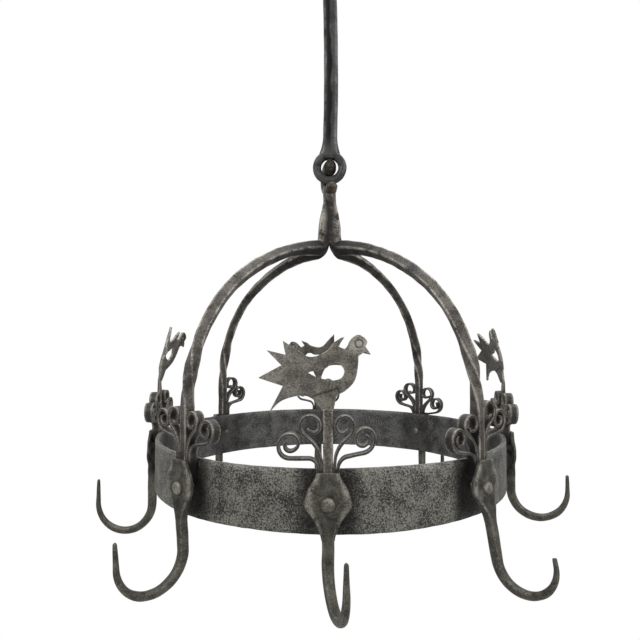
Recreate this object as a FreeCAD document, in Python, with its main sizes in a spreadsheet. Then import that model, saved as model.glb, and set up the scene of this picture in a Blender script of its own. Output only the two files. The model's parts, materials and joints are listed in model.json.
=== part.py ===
import FreeCAD, Part
import math
import os

doc = FreeCAD.newDocument("KitchenCrown")
sheet = doc.addObject("Spreadsheet::Sheet", "sizes")

# Driving dimensions in millimetres, angles in degrees.
# Heights called rise or drop are measured from the middle of the band. Names ending in share have no unit.
sizes = {
    "rod_span": 220.0,
    "rod_across_flats": 16.0,
    "top_bore_radius": 9.0,
    "top_eye_radius": 18.0,
    "top_eye_width": 9.0,
    "eye_radius": 14.0,
    "eye_bar_radius": 4.7,
    "loop_radius": 11.5,
    "loop_bar_radius": 4.8,
    "link_clearance": 0.3,
    "loop_yaw": 15.0,
    "loop_tip_angle": 30.0,
    "loop_foot_angle": 75.0,
    "flare_width_share": 0.9,
    "flare_neck_share": 0.48,
    "flare_depth_share": 1.7,
    "saddle_height": 36.0,
    "saddle_radius": 7.4,
    "saddle_wall": 1.8,
    "saddle_foot_radius": 11.0,
    "arch_radius": 145.0,
    "arch_rise": 212.0,
    "crest_radius": 220.0,
    "crest_angle": 35.0,
    "neck_bend_radius": 10.0,
    "neck_offset": 8.2,
    "neck_upright": 27.0,
    "arm_bar": 9.6,
    "twist_start_rise": 112.0,
    "twist_end_rise": 66.0,
    "band_radius": 185.0,
    "band_wall": 4.0,
    "band_height": 50.0,
    "tang_width": 7.8,
    "bundle_depth": 10.0,
    "foot_radius": 9.0,
    "lap_gap": 0.1,
    "rivet_rise": 2.0,
    "rivet_radius": 3.0,
    "rivet_head_radius": 5.6,
    "rivet_head_height": 3.2,
    "rivet_tail_radius": 3.7,
    "rivet_tail_height": 2.0,
    "plate_thickness": 4.0,
    "plate_top_width": 17.0,
    "plate_width": 36.0,
    "plate_height": 50.0,
    "hook_shank_radius": 4.7,
    "hook_tip_radius": 1.7,
    "hook_radius_front": 26.0,
    "hook_radius_front_right": 24.0,
    "hook_radius_right": 28.5,
    "hook_radius_rear_right": 28.5,
    "hook_radius_rear": 28.5,
    "hook_radius_rear_left": 28.5,
    "hook_radius_left": 30.0,
    "hook_radius_front_left": 28.5,
    "strip_thickness": 2.4,
    "strip_foot_rise": 12.0,
    "inner_straight": 18.0,
    "inner_flare_radius": 24.0,
    "inner_lead": 5.0,
    "inner_swing_radius": 10.0,
    "inner_curl_radius": 7.5,
    "inner_end_radius": 5.2,
    "outer_straight": 15.0,
    "outer_flare_radius": 9.0,
    "outer_lead": 14.0,
    "outer_swing_radius": 11.0,
    "outer_curl_radius": 7.8,
    "outer_end_radius": 5.4,
    "bird_sheet": 2.6,
    "bird_span": 86.0,
    "bird_rise": 61.0,
    "bird_lean_angle": 15.0,
    "leg_rise_front": 70.0,
    "leg_rise_right": 78.0,
    "leg_rise_rear": 72.0,
    "leg_rise_left": 80.0,
    "tilt_angle_rear": 15.0,
    "tilt_angle_left": 10.0,
    "bird_leg_depth": 6.0,
    "turn_angle_front": 14.0,
    "turn_angle_front_right": 6.0,
    "turn_angle_right": -12.0,
    "turn_angle_front_left": -6.0,
    "lean_angle_front_right": 10.0,
    "lean_angle_front_left": -4.0,
    "azimuth_front": 269.6,
    "azimuth_front_right": 311.0,
    "azimuth_right": 358.5,
    "azimuth_rear_right": 50.0,
    "azimuth_rear": 94.8,
    "azimuth_rear_left": 139.0,
    "azimuth_left": 180.0,
    "azimuth_front_left": 230.5,
    "bend_drop_front": 43.0,
    "bend_drop_front_right": 56.0,
    "bend_drop_right": 37.0,
    "bend_drop_rear_right": 48.0,
    "bend_drop_rear": 48.0,
    "bend_drop_rear_left": 48.0,
    "bend_drop_left": 56.0,
    "bend_drop_front_left": 48.0,
    "tip_rise_front": 22.0,
    "tip_rise_front_right": 6.0,
    "tip_rise_right": 18.0,
    "tip_rise_rear_right": 20.0,
    "tip_rise_rear": 20.0,
    "tip_rise_rear_left": 20.0,
    "tip_rise_left": 26.0,
    "tip_rise_front_left": 22.0,
}
for row, (alias, value) in enumerate(sizes.items(), start=1):
    sheet.set("A%d" % row, alias)
    sheet.set("B%d" % row, str(value))
    sheet.setAlias("B%d" % row, alias)
doc.recompute()

BIRD_UNITS = ("front", "right", "rear", "left")
ARM_UNITS = ("front_right", "rear_right", "rear_left", "front_left")
UNITS = ("front", "front_right", "right", "rear_right", "rear", "rear_left", "left", "front_left")
LOOP_DROP = ("(sizes.rod_span + sizes.eye_radius + sizes.loop_radius - sizes.eye_bar_radius"
             " - sizes.loop_bar_radius - sizes.link_clearance)")
SADDLE_TOP = ("(" + LOOP_DROP + " + sizes.loop_radius - sizes.loop_bar_radius"
              " - sizes.link_clearance - sizes.saddle_wall)")
NECK_TOP = "(" + SADDLE_TOP + " + sizes.saddle_height)"
# Centre of the arms' crest from the axis and above the band, and the centre of the neck bend above it.
CREST_REACH = ("(sizes.band_radius + sizes.bundle_depth / 2 - sizes.arch_radius"
               " - (sizes.crest_radius - sizes.arch_radius) * sin(sizes.crest_angle * 1 deg))")
CREST_RISE = ("(sizes.arch_rise - sizes.arch_radius"
              " - (sizes.crest_radius - sizes.arch_radius) * cos(sizes.crest_angle * 1 deg))")
BEND_RISE = ("(" + CREST_RISE + " + sqrt((sizes.crest_radius + sizes.neck_bend_radius) ^ 2"
             " - (sizes.neck_offset + sizes.neck_bend_radius - " + CREST_REACH + ") ^ 2))")
BAND_HEIGHT_EXPRESSION = "-(" + NECK_TOP + " + " + BEND_RISE + " + sizes.neck_upright)"
nodes = []


def size(alias):
    return float(sheet.get(alias))


def vec(x, y, z):
    return FreeCAD.Vector(x, y, z)


def add(kind, name, **expressions):
    """Adds a document object whose properties follow the sheet."""
    made = doc.addObject(kind, name)
    for path, text in expressions.items():
        made.setExpression(path, text)
    return made


def join(kind, name, members):
    made = doc.addObject(kind, name)
    made.Shapes = members
    return made


def cut(name, base, tool):
    made = doc.addObject("Part::Cut", name)
    made.Base = base
    made.Tool = tool
    return made


def keep(made, label):
    made.Label = label
    nodes.append(made)
    return made


def place_on_band(made, azimuth):
    """Turns a shape drawn along +X to its azimuth and drops it to the band."""
    made.Placement = FreeCAD.Placement(vec(0, 0, 0), FreeCAD.Rotation(vec(0, 0, 1), size(azimuth)))
    made.setExpression("Placement.Rotation.Angle", "sizes.%s * 1 deg" % azimuth)
    made.setExpression("Placement.Base.z", BAND_HEIGHT_EXPRESSION)


def drawn(label, shape, azimuth):
    made = doc.addObject("Part::Feature", label)
    made.Shape = shape
    place_on_band(made, azimuth)
    return keep(made, label)


# Suspension rod: chamfered bar, drilled top eye at the origin, round lower eye.
top_eye = add("Part::Cylinder", "top_eye", Radius="sizes.top_eye_radius", Height="sizes.top_eye_width")
top_eye.Placement = FreeCAD.Placement(vec(0, 0, 0), FreeCAD.Rotation(vec(1, 0, 0), 90))
top_eye.setExpression("Placement.Base.y", "sizes.top_eye_width / 2")
bar = add("Part::Prism", "rod_bar", Circumradius="sizes.rod_across_flats / 2 / cos(22.5 deg)")
bar.Polygon = 8
bar.setExpression("Height", "sizes.rod_span - sizes.top_bore_radius - sizes.eye_radius"
                  " - sizes.eye_bar_radius")
bar.Placement = FreeCAD.Placement(vec(0, 0, 0), FreeCAD.Rotation(vec(0, 0, 1), 22.5))
bar.setExpression("Placement.Base.z", "-(sizes.rod_span - sizes.eye_radius)")
lower_eye = add("Part::Torus", "lower_eye", Radius1="sizes.eye_radius", Radius2="sizes.eye_bar_radius")
lower_eye.Placement = FreeCAD.Placement(vec(0, 0, 0), FreeCAD.Rotation(vec(1, 0, 0), 90))
lower_eye.setExpression("Placement.Base.z", "-sizes.rod_span")
flare = add("Part::Cone", "rod_flare", Height="sizes.eye_radius")
flare.setExpression("Radius1", "sizes.flare_width_share * sizes.eye_radius")
flare.setExpression("Radius2", "sizes.flare_neck_share * sizes.rod_across_flats")
flare.setExpression("Placement.Base.z", "-(sizes.rod_span - sizes.eye_radius)")
flare_slab = add("Part::Box", "flare_slab", Length="4 * sizes.eye_radius")
flare_slab.setExpression("Width", "sizes.flare_depth_share * sizes.eye_bar_radius")
flare_slab.setExpression("Height", "2 * sizes.eye_radius")
flare_slab.setExpression("Placement.Base.x", "-2 * sizes.eye_radius")
flare_slab.setExpression("Placement.Base.y", "-sizes.flare_depth_share * sizes.eye_bar_radius / 2")
flare_slab.setExpression("Placement.Base.z", "-(sizes.rod_span - sizes.eye_radius)")
flare_flat = join("Part::MultiCommon", "flare_flat", [flare, flare_slab])
rod_solid = join("Part::MultiFuse", "rod_solid", [top_eye, bar, lower_eye, flare_flat])
rod_bore = add("Part::Cylinder", "rod_bore", Radius="sizes.top_bore_radius", Height="3 * sizes.top_eye_width")
rod_bore.Placement = FreeCAD.Placement(vec(0, 0, 0), FreeCAD.Rotation(vec(1, 0, 0), 90))
rod_bore.setExpression("Placement.Base.y", "1.5 * sizes.top_eye_width")
eye_hole = add("Part::Cylinder", "eye_hole", Height="4 * sizes.eye_bar_radius")
eye_hole.setExpression("Radius", "sizes.eye_radius - sizes.eye_bar_radius")
eye_hole.Placement = FreeCAD.Placement(vec(0, 0, 0), FreeCAD.Rotation(vec(1, 0, 0), 90))
eye_hole.setExpression("Placement.Base.y", "2 * sizes.eye_bar_radius")
eye_hole.setExpression("Placement.Base.z", "-sizes.rod_span")
rod_holes = join("Part::MultiFuse", "rod_holes", [rod_bore, eye_hole])
keep(cut("rod_body", rod_solid, rod_holes), "suspension_rod")

# Loop hanging in the lower eye; its upper bar rests on the eye with the link clearance.
# It is an open ring: the tip ends in front of the eye's hole, the foot below the eye.
loop_turn = FreeCAD.Rotation(vec(0, 0, 1), size("loop_yaw")).multiply(FreeCAD.Rotation(vec(0, 1, 0), 90))
loop_turn = loop_turn.multiply(FreeCAD.Rotation(vec(0, 0, 1), -size("loop_foot_angle")))


def loop_ring(name, bar_radius):
    ring = add("Part::Torus", name, Radius1="sizes.loop_radius", Radius2=bar_radius)
    ring.Placement = FreeCAD.Placement(vec(0, 0, 0), loop_turn)
    ring.setExpression("Placement.Base.z", "-" + LOOP_DROP)
    return ring


loop = loop_ring("loop", "sizes.loop_bar_radius")
loop.setExpression("Angle3", "180 + sizes.loop_tip_angle + sizes.loop_foot_angle")
keep(loop, "neck_loop")

# Neck: tapered saddle bored for the loop, standing on the tops of the four bars.
saddle = add("Part::Cone", "saddle", Radius1="sizes.saddle_foot_radius", Radius2="sizes.saddle_radius")
saddle.setExpression("Height", "sizes.saddle_height")
saddle.setExpression("Placement.Base.z", "-" + NECK_TOP)
loop_bore = loop_ring("loop_bore", "sizes.loop_bar_radius + sizes.link_clearance")
keep(cut("neck_body", saddle, loop_bore), "neck")

# Band with one rivet hole behind every plate.
band_outer = add("Part::Cylinder", "band_outer", Radius="sizes.band_radius", Height="sizes.band_height")
band_inner = add("Part::Cylinder", "band_inner", Radius="sizes.band_radius - sizes.band_wall")
band_inner.setExpression("Height", "sizes.band_height")
for ring in (band_outer, band_inner):
    ring.setExpression("Placement.Base.z", BAND_HEIGHT_EXPRESSION + " - sizes.band_height / 2")
band_ring = cut("band_ring", band_outer, band_inner)
holes = []
for unit in UNITS:
    hole = add("Part::Cylinder", "hole_" + unit, Radius="sizes.rivet_radius")
    hole.setExpression("Height", "sizes.band_radius")
    turn = FreeCAD.Rotation(vec(0, 0, 1), size("azimuth_" + unit))
    hole.Placement = FreeCAD.Placement(vec(0, 0, 0), turn.multiply(FreeCAD.Rotation(vec(0, 1, 0), 90)))
    hole.setExpression("Placement.Base.z", BAND_HEIGHT_EXPRESSION + " + sizes.rivet_rise")
    hole.setExpression("Placement.Base.x", "sizes.band_radius / 2 * cos(sizes.azimuth_%s * 1 deg)" % unit)
    hole.setExpression("Placement.Base.y", "sizes.band_radius / 2 * sin(sizes.azimuth_%s * 1 deg)" % unit)
    holes.append(hole)
band_holes = join("Part::MultiFuse", "band_holes", holes)
keep(cut("band_body", band_ring, band_holes), "band")


def foot_and_hole(shape):
    """Adds the round foot behind the plate and drills it for the rivet."""
    inner = vec(size("band_radius"), 0, size("rivet_rise"))
    foot = Part.makeCylinder(size("foot_radius"), size("bundle_depth"), inner, vec(1, 0, 0))
    hole = Part.makeCylinder(size("rivet_radius"), size("bundle_depth"), inner, vec(1, 0, 0))
    return shape.fuse(foot).cut(hole).removeSplitter()


def bar_section(center, along, half_width, half_depth, turn):
    """Four-sided section square to a path that lies in the XZ plane."""
    normal = vec(along.z, 0, -along.x)
    side = vec(0, 1, 0)
    corners = []
    for width_sign, depth_sign in ((1, 1), (-1, 1), (-1, -1), (1, -1)):
        width = width_sign * half_width
        depth = depth_sign * half_depth
        across = width * math.cos(turn) - depth * math.sin(turn)
        deep = width * math.sin(turn) + depth * math.cos(turn)
        corners.append(center + side * across + normal * deep)
    return Part.makePolygon(corners + corners[:1])


def arm_shape():
    """Square bar down the neck, out over crest and arch, twisted to a flat tang."""
    run_radius = size("band_radius") + size("bundle_depth") / 2
    arch = size("arch_radius")
    crest = size("crest_radius")
    bend = size("neck_bend_radius")
    diamond = math.radians(45)
    arm_half = size("arm_bar") / 2
    arch_center = vec(run_radius - arch, 0, size("arch_rise") - arch)
    fall = math.radians(size("crest_angle"))
    above_arch = vec(math.sin(fall), 0, math.cos(fall))
    crest_center = arch_center + above_arch * (arch - crest)
    # The neck bend touches the crest on the line through both centres.
    slope = math.asin((size("neck_offset") + bend - crest_center.x) / (crest + bend))
    above_crest = vec(math.sin(slope), 0, math.cos(slope))
    bend_center = crest_center + above_crest * (crest + bend)
    neck_point = bend_center - vec(bend, 0, 0)
    neck_bottom = Part.Face(bar_section(neck_point, vec(0, 0, -1), arm_half, arm_half, diamond))
    upright = neck_bottom.extrude(vec(0, 0, size("neck_upright")))
    turn = neck_bottom.revolve(bend_center, vec(0, 1, 0), math.degrees(slope) - 90)
    crest_along = vec(math.cos(slope), 0, -math.sin(slope))
    crest_start = crest_center + above_crest * crest
    crest_face = Part.Face(bar_section(crest_start, crest_along, arm_half, arm_half, diamond))
    lead = crest_face.revolve(crest_center, vec(0, 1, 0), size("crest_angle") - math.degrees(slope))
    arch_along = vec(math.cos(fall), 0, -math.sin(fall))
    arch_start = arch_center + above_arch * arch
    arch_face = Part.Face(bar_section(arch_start, arch_along, arm_half, arm_half, diamond))
    twist_angle = math.degrees(math.asin((size("twist_start_rise") - arch_center.z) / arch))
    bow = arch_face.revolve(arch_center, vec(0, 1, 0), 90 - size("crest_angle") - twist_angle)
    sections = []
    for twist_share in (0.0, 0.25, 0.5, 0.75, 1.0):
        rise = size("twist_start_rise") + twist_share * (size("twist_end_rise") - size("twist_start_rise"))
        angle = math.asin(max(rise - arch_center.z, 0.0) / arch)
        point = vec(arch_center.x + arch * math.cos(angle), 0, rise)
        along = vec(math.sin(angle), 0, -math.cos(angle))
        width = arm_half + (size("tang_width") / 2 - arm_half) * twist_share
        depth = arm_half + (size("bundle_depth") / 2 - arm_half) * twist_share
        sections.append(bar_section(point, along, width, depth, diamond * (1 - twist_share)))
    twist = Part.makeLoft(sections, True, True)
    tang = Part.makeBox(size("bundle_depth"), size("tang_width"),
                        size("twist_end_rise") - size("rivet_rise"),
                        vec(size("band_radius"), -size("tang_width") / 2, size("rivet_rise")))
    return foot_and_hole(upright.fuse([turn, lead, bow, twist, tang]))


for unit in ARM_UNITS:
    drawn("arm_" + unit, arm_shape(), "azimuth_" + unit)

# Bird outline as shares of its span and rise, beak towards +Y, leg at the middle.
BREAST_SHARES = [(0.045, 0.0), (0.06, 0.09), (0.08, 0.20), (0.16, 0.27), (0.24, 0.39), (0.27, 0.55),
                 (0.28, 0.72)]
BEAK_SHARES = [(0.28, 0.72), (0.32, 0.76), (0.39, 0.735), (0.345, 0.84)]
HEAD_SHARES = [(0.345, 0.84), (0.36, 0.92), (0.285, 1.0), (0.21, 0.94), (0.16, 0.82), (0.10, 0.84)]
WING_SHARES = [(0.10, 0.84), (0.13, 0.97), (0.04, 0.88)]
BACK_SHARES = [(0.04, 0.88), (0.0, 0.80), (-0.10, 0.72), (-0.18, 0.71), (-0.26, 0.79)]
TAIL_SHARES = [(-0.26, 0.79), (-0.38, 0.92), (-0.36, 0.73), (-0.53, 0.79), (-0.39, 0.59), (-0.61, 0.42),
               (-0.38, 0.33), (-0.50, 0.02)]
BELLY_SHARES = [(-0.50, 0.02), (-0.40, 0.14), (-0.25, 0.21), (-0.14, 0.16), (-0.045, 0.0)]
WINDOW_SHARES = [(-0.18, 0.50), (-0.10, 0.53), (-0.02, 0.56), (0.03, 0.62), (0.085, 0.63), (0.135, 0.57),
                 (0.145, 0.50), (0.12, 0.43), (0.06, 0.40), (-0.02, 0.41), (-0.10, 0.44)]
MIRRORED_BIRDS = ("right", "left")
TILTED_BIRDS = ("rear", "left")


def bird_points(shares, facing):
    return [vec(0, facing * u * size("bird_span"), v * size("bird_rise")) for u, v in shares]


def smooth_edge(points, closed=False):
    curve = Part.BSplineCurve()
    curve.interpolate(Points=points, PeriodicFlag=closed)
    return curve.toShape()


def straight_edges(points):
    return [Part.LineSegment(a, b).toShape() for a, b in zip(points[:-1], points[1:])]


def bird_shape(unit):
    """Leaning sheet bird with a pierced wing on an upright leg."""
    facing = -1 if unit in MIRRORED_BIRDS else 1
    leg_rise = size("leg_rise_" + unit)
    edges = [smooth_edge(bird_points(BREAST_SHARES, facing))]
    edges += straight_edges(bird_points(BEAK_SHARES, facing))
    edges.append(smooth_edge(bird_points(HEAD_SHARES, facing)))
    edges += straight_edges(bird_points(WING_SHARES, facing))
    edges.append(smooth_edge(bird_points(BACK_SHARES, facing)))
    edges += straight_edges(bird_points(TAIL_SHARES, facing))
    edges.append(smooth_edge(bird_points(BELLY_SHARES, facing)))
    edges += straight_edges([bird_points(BELLY_SHARES, facing)[-1], bird_points(BREAST_SHARES, facing)[0]])
    outline = Part.Wire(Part.__sortEdges__(edges))
    window = Part.Wire([smooth_edge(bird_points(WINDOW_SHARES, facing), True)])
    sheet_body = Part.Face(outline).extrude(vec(size("bird_sheet"), 0, 0))
    opening = Part.Face(window).extrude(vec(size("bird_sheet"), 0, 0))
    sheet_body = sheet_body.cut(opening)
    sheet_body.translate(vec(-size("bird_sheet") / 2, 0, 0))
    if unit in TILTED_BIRDS:
        sheet_body.rotate(vec(0, 0, 0), vec(1, 0, 0), -facing * size("tilt_angle_" + unit))
    sheet_body.rotate(vec(0, 0, 0), vec(0, 1, 0), -size("bird_lean_angle"))
    middle = size("band_radius") + size("bundle_depth") / 2
    sheet_body.translate(vec(middle, 0, leg_rise))
    sunk = size("bird_sheet")
    leg = Part.makeBox(size("bird_leg_depth"), size("tang_width"),
                       leg_rise + sunk - size("rivet_rise"),
                       vec(middle - size("bird_leg_depth") / 2, -size("tang_width") / 2, size("rivet_rise")))
    return foot_and_hole(leg.fuse(sheet_body))


for unit in BIRD_UNITS:
    drawn("bird_" + unit, bird_shape(unit), "azimuth_" + unit)

# Plate outline as shares of its half width and of its height below the band's top edge.
PLATE_TOP_SHARE = 0.5
PLATE_UPPER_SHARES = (0.76, 0.20)
PLATE_WIDEST_SHARE = 0.43
PLATE_LOWER_SHARES = (0.86, 0.56)
PLATE_WAIST_SHARES = (0.61, 0.71)
PLATE_NECK_SHARES = (0.39, 0.86)
HOOK_ROOT_SHARE = 0.33
HOOK_TRIM_SHARE = 0.44
HOOK_TAPER_SHARE = 1.3


def plate_shape():
    """Shield plate with a flat top, wide at the rivet and drawn in to the shank."""
    top = size("plate_height") * PLATE_TOP_SHARE
    half_top = size("plate_top_width") / 2
    half = size("plate_width") / 2
    shank = size("hook_shank_radius")

    def spot(side, width, drop_share):
        return vec(0, side * width, top - drop_share * size("plate_height"))

    edges = []
    for side in (1, -1):
        upper = spot(side, PLATE_UPPER_SHARES[0] * half, PLATE_UPPER_SHARES[1])
        widest = spot(side, half, PLATE_WIDEST_SHARE)
        lower = spot(side, PLATE_LOWER_SHARES[0] * half, PLATE_LOWER_SHARES[1])
        waist = spot(side, PLATE_WAIST_SHARES[0] * half, PLATE_WAIST_SHARES[1])
        neck = spot(side, PLATE_NECK_SHARES[0] * half, PLATE_NECK_SHARES[1])
        edges.append(Part.Arc(spot(side, half_top, 0), upper, widest).toShape())
        edges.append(Part.Arc(widest, lower, waist).toShape())
        edges.append(Part.Arc(waist, neck, spot(side, shank, 1)).toShape())
    edges.append(Part.LineSegment(spot(1, half_top, 0), spot(-1, half_top, 0)).toShape())
    edges.append(Part.LineSegment(spot(1, shank, 1), spot(-1, shank, 1)).toShape())
    back = size("band_radius") + size("bundle_depth")
    plate = Part.Face(Part.Wire(Part.__sortEdges__(edges))).extrude(vec(size("plate_thickness"), 0, 0))
    plate.translate(vec(back, 0, 0))
    hole = Part.makeCylinder(size("rivet_radius"), size("plate_thickness"),
                             vec(back, 0, size("rivet_rise")), vec(1, 0, 0))
    return plate.cut(hole)


TURNED_HOOKS = ("front", "front_right", "right", "front_left")
LEANING_HOOKS = ("front_right", "front_left")


def hook_shape(unit):
    """Plate and tapering round hook in one forging."""
    bend = size("hook_radius_" + unit)
    shank_radius = size("band_radius") + size("bundle_depth") + size("plate_thickness") / 2
    center = vec(shank_radius + bend, 0, -size("bend_drop_" + unit))
    start = -size("plate_height") * HOOK_ROOT_SHARE
    thick = size("hook_shank_radius")
    thin = size("hook_tip_radius")
    spots = []
    for drop_share in (0.0, 0.5):
        rise = start + drop_share * (center.z - start)
        spots.append((vec(shank_radius, 0, rise), vec(0, 0, -1)))
    for turn_share in (0.0, 0.17, 0.33, 0.5, 0.67, 0.83, 1.0):
        angle = math.radians(180 * turn_share)
        point = center + vec(-bend * math.cos(angle), 0, -bend * math.sin(angle))
        spots.append((point, vec(math.sin(angle), 0, -math.cos(angle))))
    for rise_share in (0.5, 1.0):
        tip = center + vec(bend, 0, size("tip_rise_" + unit) * rise_share)
        spots.append((tip, vec(0, 0, 1)))
    wires = []
    last = len(spots) - 1
    for index, (point, along) in enumerate(spots):
        radius = thick + (thin - thick) * (index / last) ** HOOK_TAPER_SHARE
        wires.append(Part.Wire([Part.Circle(point, along, radius).toShape()]))
    hook = Part.makeLoft(wires, True, False)
    if unit in LEANING_HOOKS:
        hook.rotate(vec(shank_radius, 0, size("rivet_rise")), vec(0, 1, 0), -size("lean_angle_" + unit))
    trim_corner = vec(size("band_radius"), -size("plate_width") / 2, -size("plate_height") * HOOK_TRIM_SHARE)
    trim = Part.makeBox(size("bundle_depth"), size("plate_width"), size("plate_height"), trim_corner)
    hook = hook.cut(trim)
    if unit in TURNED_HOOKS:
        hook.rotate(vec(shank_radius, 0, 0), vec(0, 0, 1), size("turn_angle_" + unit))
    return plate_shape().fuse(hook).removeSplitter()


for unit in UNITS:
    drawn("hook_" + unit, hook_shape(unit), "azimuth_" + unit)


def strip_shape(first_offset, legs, side):
    """Bent strip: a chain of straights and arcs, given an even thickness and depth.

    Each leg is (length, 0) for a straight or (radius, turn in degrees) for an arc.
    """
    half = size("strip_thickness") / 2
    point = vec(0, first_offset, size("strip_foot_rise"))
    heading = math.radians(90)
    left_edges = []
    right_edges = []

    def beside(spot, direction, offset):
        return vec(size("band_radius"), side * (spot.y - offset * math.sin(direction)),
                   spot.z + offset * math.cos(direction))

    first = [beside(point, heading, half), beside(point, heading, -half)]
    for length, turn_degrees in legs:
        turn = math.radians(turn_degrees)
        if turn_degrees == 0:
            ahead = vec(0, point.y + length * math.cos(heading), point.z + length * math.sin(heading))
            for offset, edges in ((half, left_edges), (-half, right_edges)):
                edges.append(Part.LineSegment(beside(point, heading, offset),
                                              beside(ahead, heading, offset)).toShape())
        else:
            sign = math.copysign(1, turn)
            reach = sign * length
            hub = vec(0, point.y - reach * math.sin(heading), point.z + reach * math.cos(heading))

            def along_arc(swept):
                direction = heading + swept
                return vec(0, hub.y + reach * math.sin(direction), hub.z - reach * math.cos(direction))

            middle = along_arc(turn / 2)
            ahead = along_arc(turn)
            for offset, edges in ((half, left_edges), (-half, right_edges)):
                edges.append(Part.Arc(beside(point, heading, offset),
                                      beside(middle, heading + turn / 2, offset),
                                      beside(ahead, heading + turn, offset)).toShape())
            heading += turn
        point = ahead
    caps = [Part.LineSegment(first[0], first[1]).toShape(),
            Part.LineSegment(beside(point, heading, half), beside(point, heading, -half)).toShape()]
    outline = Part.Wire(Part.__sortEdges__(left_edges + right_edges + caps))
    return Part.Face(outline).extrude(vec(size("bundle_depth"), 0, 0))


INNER_LEGS = [(size("inner_straight"), 0), (size("inner_flare_radius"), -50), (size("inner_lead"), 0),
              (size("inner_swing_radius"), 50), (size("inner_curl_radius"), 180),
              (size("inner_end_radius"), 150)]
OUTER_LEGS = [(size("outer_straight"), 0), (size("outer_flare_radius"), -80), (size("outer_lead"), 0),
              (size("outer_swing_radius"), 80), (size("outer_curl_radius"), 180),
              (size("outer_end_radius"), 150)]
# The pair on one side of the rear left arm is lost.
LOST_PAIR = ("rear_left", "a")
inner_offset = size("tang_width") / 2 + size("lap_gap") + size("strip_thickness") / 2
outer_offset = inner_offset + size("lap_gap") + size("strip_thickness")
for unit in UNITS:
    for side, hand in ((1, "a"), (-1, "b")):
        if (unit, hand) == LOST_PAIR:
            continue
        inner_strip = strip_shape(inner_offset, INNER_LEGS, side)
        outer_strip = strip_shape(outer_offset, OUTER_LEGS, side)
        drawn("scroll_inner_%s_%s" % (unit, hand), inner_strip, "azimuth_" + unit)
        drawn("scroll_outer_%s_%s" % (unit, hand), outer_strip, "azimuth_" + unit)

# Rivets: shank through band, foot and plate, domed head outside, small dome inside.
RIVET_INSIDE = "sizes.band_radius - sizes.band_wall"
RIVET_LENGTH = "sizes.band_wall + sizes.bundle_depth + sizes.plate_thickness"
rivets = []
for unit in UNITS:
    shank = add("Part::Cylinder", "rivet_shank_" + unit, Radius="sizes.rivet_radius", Height=RIVET_LENGTH)
    head = add("Part::Ellipsoid", "rivet_head_" + unit, Radius1="sizes.rivet_head_height")
    head.setExpression("Radius2", "sizes.rivet_head_radius")
    head.setExpression("Radius3", "sizes.rivet_head_radius")
    head.Angle1 = 0
    tail = add("Part::Ellipsoid", "rivet_tail_" + unit, Radius1="sizes.rivet_tail_height")
    tail.setExpression("Radius2", "sizes.rivet_tail_radius")
    tail.setExpression("Radius3", "sizes.rivet_tail_radius")
    tail.Angle2 = 0
    turn = FreeCAD.Rotation(vec(0, 0, 1), size("azimuth_" + unit))
    turn = turn.multiply(FreeCAD.Rotation(vec(0, 1, 0), 90))
    reach = {shank: RIVET_INSIDE, tail: RIVET_INSIDE, head: RIVET_INSIDE + " + " + RIVET_LENGTH}
    for piece, distance in reach.items():
        piece.Placement = FreeCAD.Placement(vec(0, 0, 0), turn)
        piece.setExpression("Placement.Base.x", "(%s) * cos(sizes.azimuth_%s * 1 deg)" % (distance, unit))
        piece.setExpression("Placement.Base.y", "(%s) * sin(sizes.azimuth_%s * 1 deg)" % (distance, unit))
        piece.setExpression("Placement.Base.z", BAND_HEIGHT_EXPRESSION + " + sizes.rivet_rise")
    rivets.append(join("Part::MultiFuse", "rivet_" + unit, [shank, head, tail]))
rivet_set = doc.addObject("Part::Compound", "rivet_set")
rivet_set.Links = rivets
keep(rivet_set, "plate_rivets")

doc.recompute()
for made in doc.Objects:
    if "Invalid" in made.State or "Error" in made.State:
        raise RuntimeError("object %s is %s" % (made.Name, made.State))
os.makedirs("parts", exist_ok=True)
for made in nodes:
    if made.Shape.isNull() or not made.Shape.isValid():
        raise RuntimeError("bad shape: " + made.Label)
    made.Shape.exportStep("parts/%s.step" % made.Label)
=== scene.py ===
"""Looks of a hanging wrought-iron kitchen crown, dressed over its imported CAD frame."""
import json
import logging
import math
from dataclasses import dataclass
from enum import Enum
from typing import Any, Sequence

import bpy
import numpy as np
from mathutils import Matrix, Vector
from mathutils.geometry import delaunay_2d_cdt


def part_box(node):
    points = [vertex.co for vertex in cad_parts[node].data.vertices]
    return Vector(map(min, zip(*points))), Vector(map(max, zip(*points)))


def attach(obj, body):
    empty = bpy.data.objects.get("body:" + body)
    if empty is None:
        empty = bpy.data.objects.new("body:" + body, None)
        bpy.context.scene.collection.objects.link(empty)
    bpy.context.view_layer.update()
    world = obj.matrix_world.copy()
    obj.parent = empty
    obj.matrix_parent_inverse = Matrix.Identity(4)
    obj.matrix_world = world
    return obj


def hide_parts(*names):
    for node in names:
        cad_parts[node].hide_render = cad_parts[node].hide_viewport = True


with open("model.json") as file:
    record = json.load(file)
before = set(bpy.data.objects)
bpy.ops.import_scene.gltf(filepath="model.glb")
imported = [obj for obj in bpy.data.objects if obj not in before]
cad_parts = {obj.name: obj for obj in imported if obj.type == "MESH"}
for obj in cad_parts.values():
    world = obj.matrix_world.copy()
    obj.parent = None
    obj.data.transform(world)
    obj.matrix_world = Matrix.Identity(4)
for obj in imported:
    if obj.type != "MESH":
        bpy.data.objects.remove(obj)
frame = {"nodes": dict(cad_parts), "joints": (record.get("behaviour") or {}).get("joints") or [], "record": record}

LOG = logging.getLogger("kitchen_crown")
MM = 0.001
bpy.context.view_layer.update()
Array = np.ndarray
Stops = tuple[tuple[float, float], ...]
TINY = 1e-12
WHITE = (1.0, 1.0, 1.0, 1.0)
DEPTHWISE = np.array([0.0, 1.0, 0.0])
UPWARDS = np.array([0.0, 0.0, 1.0])
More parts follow.
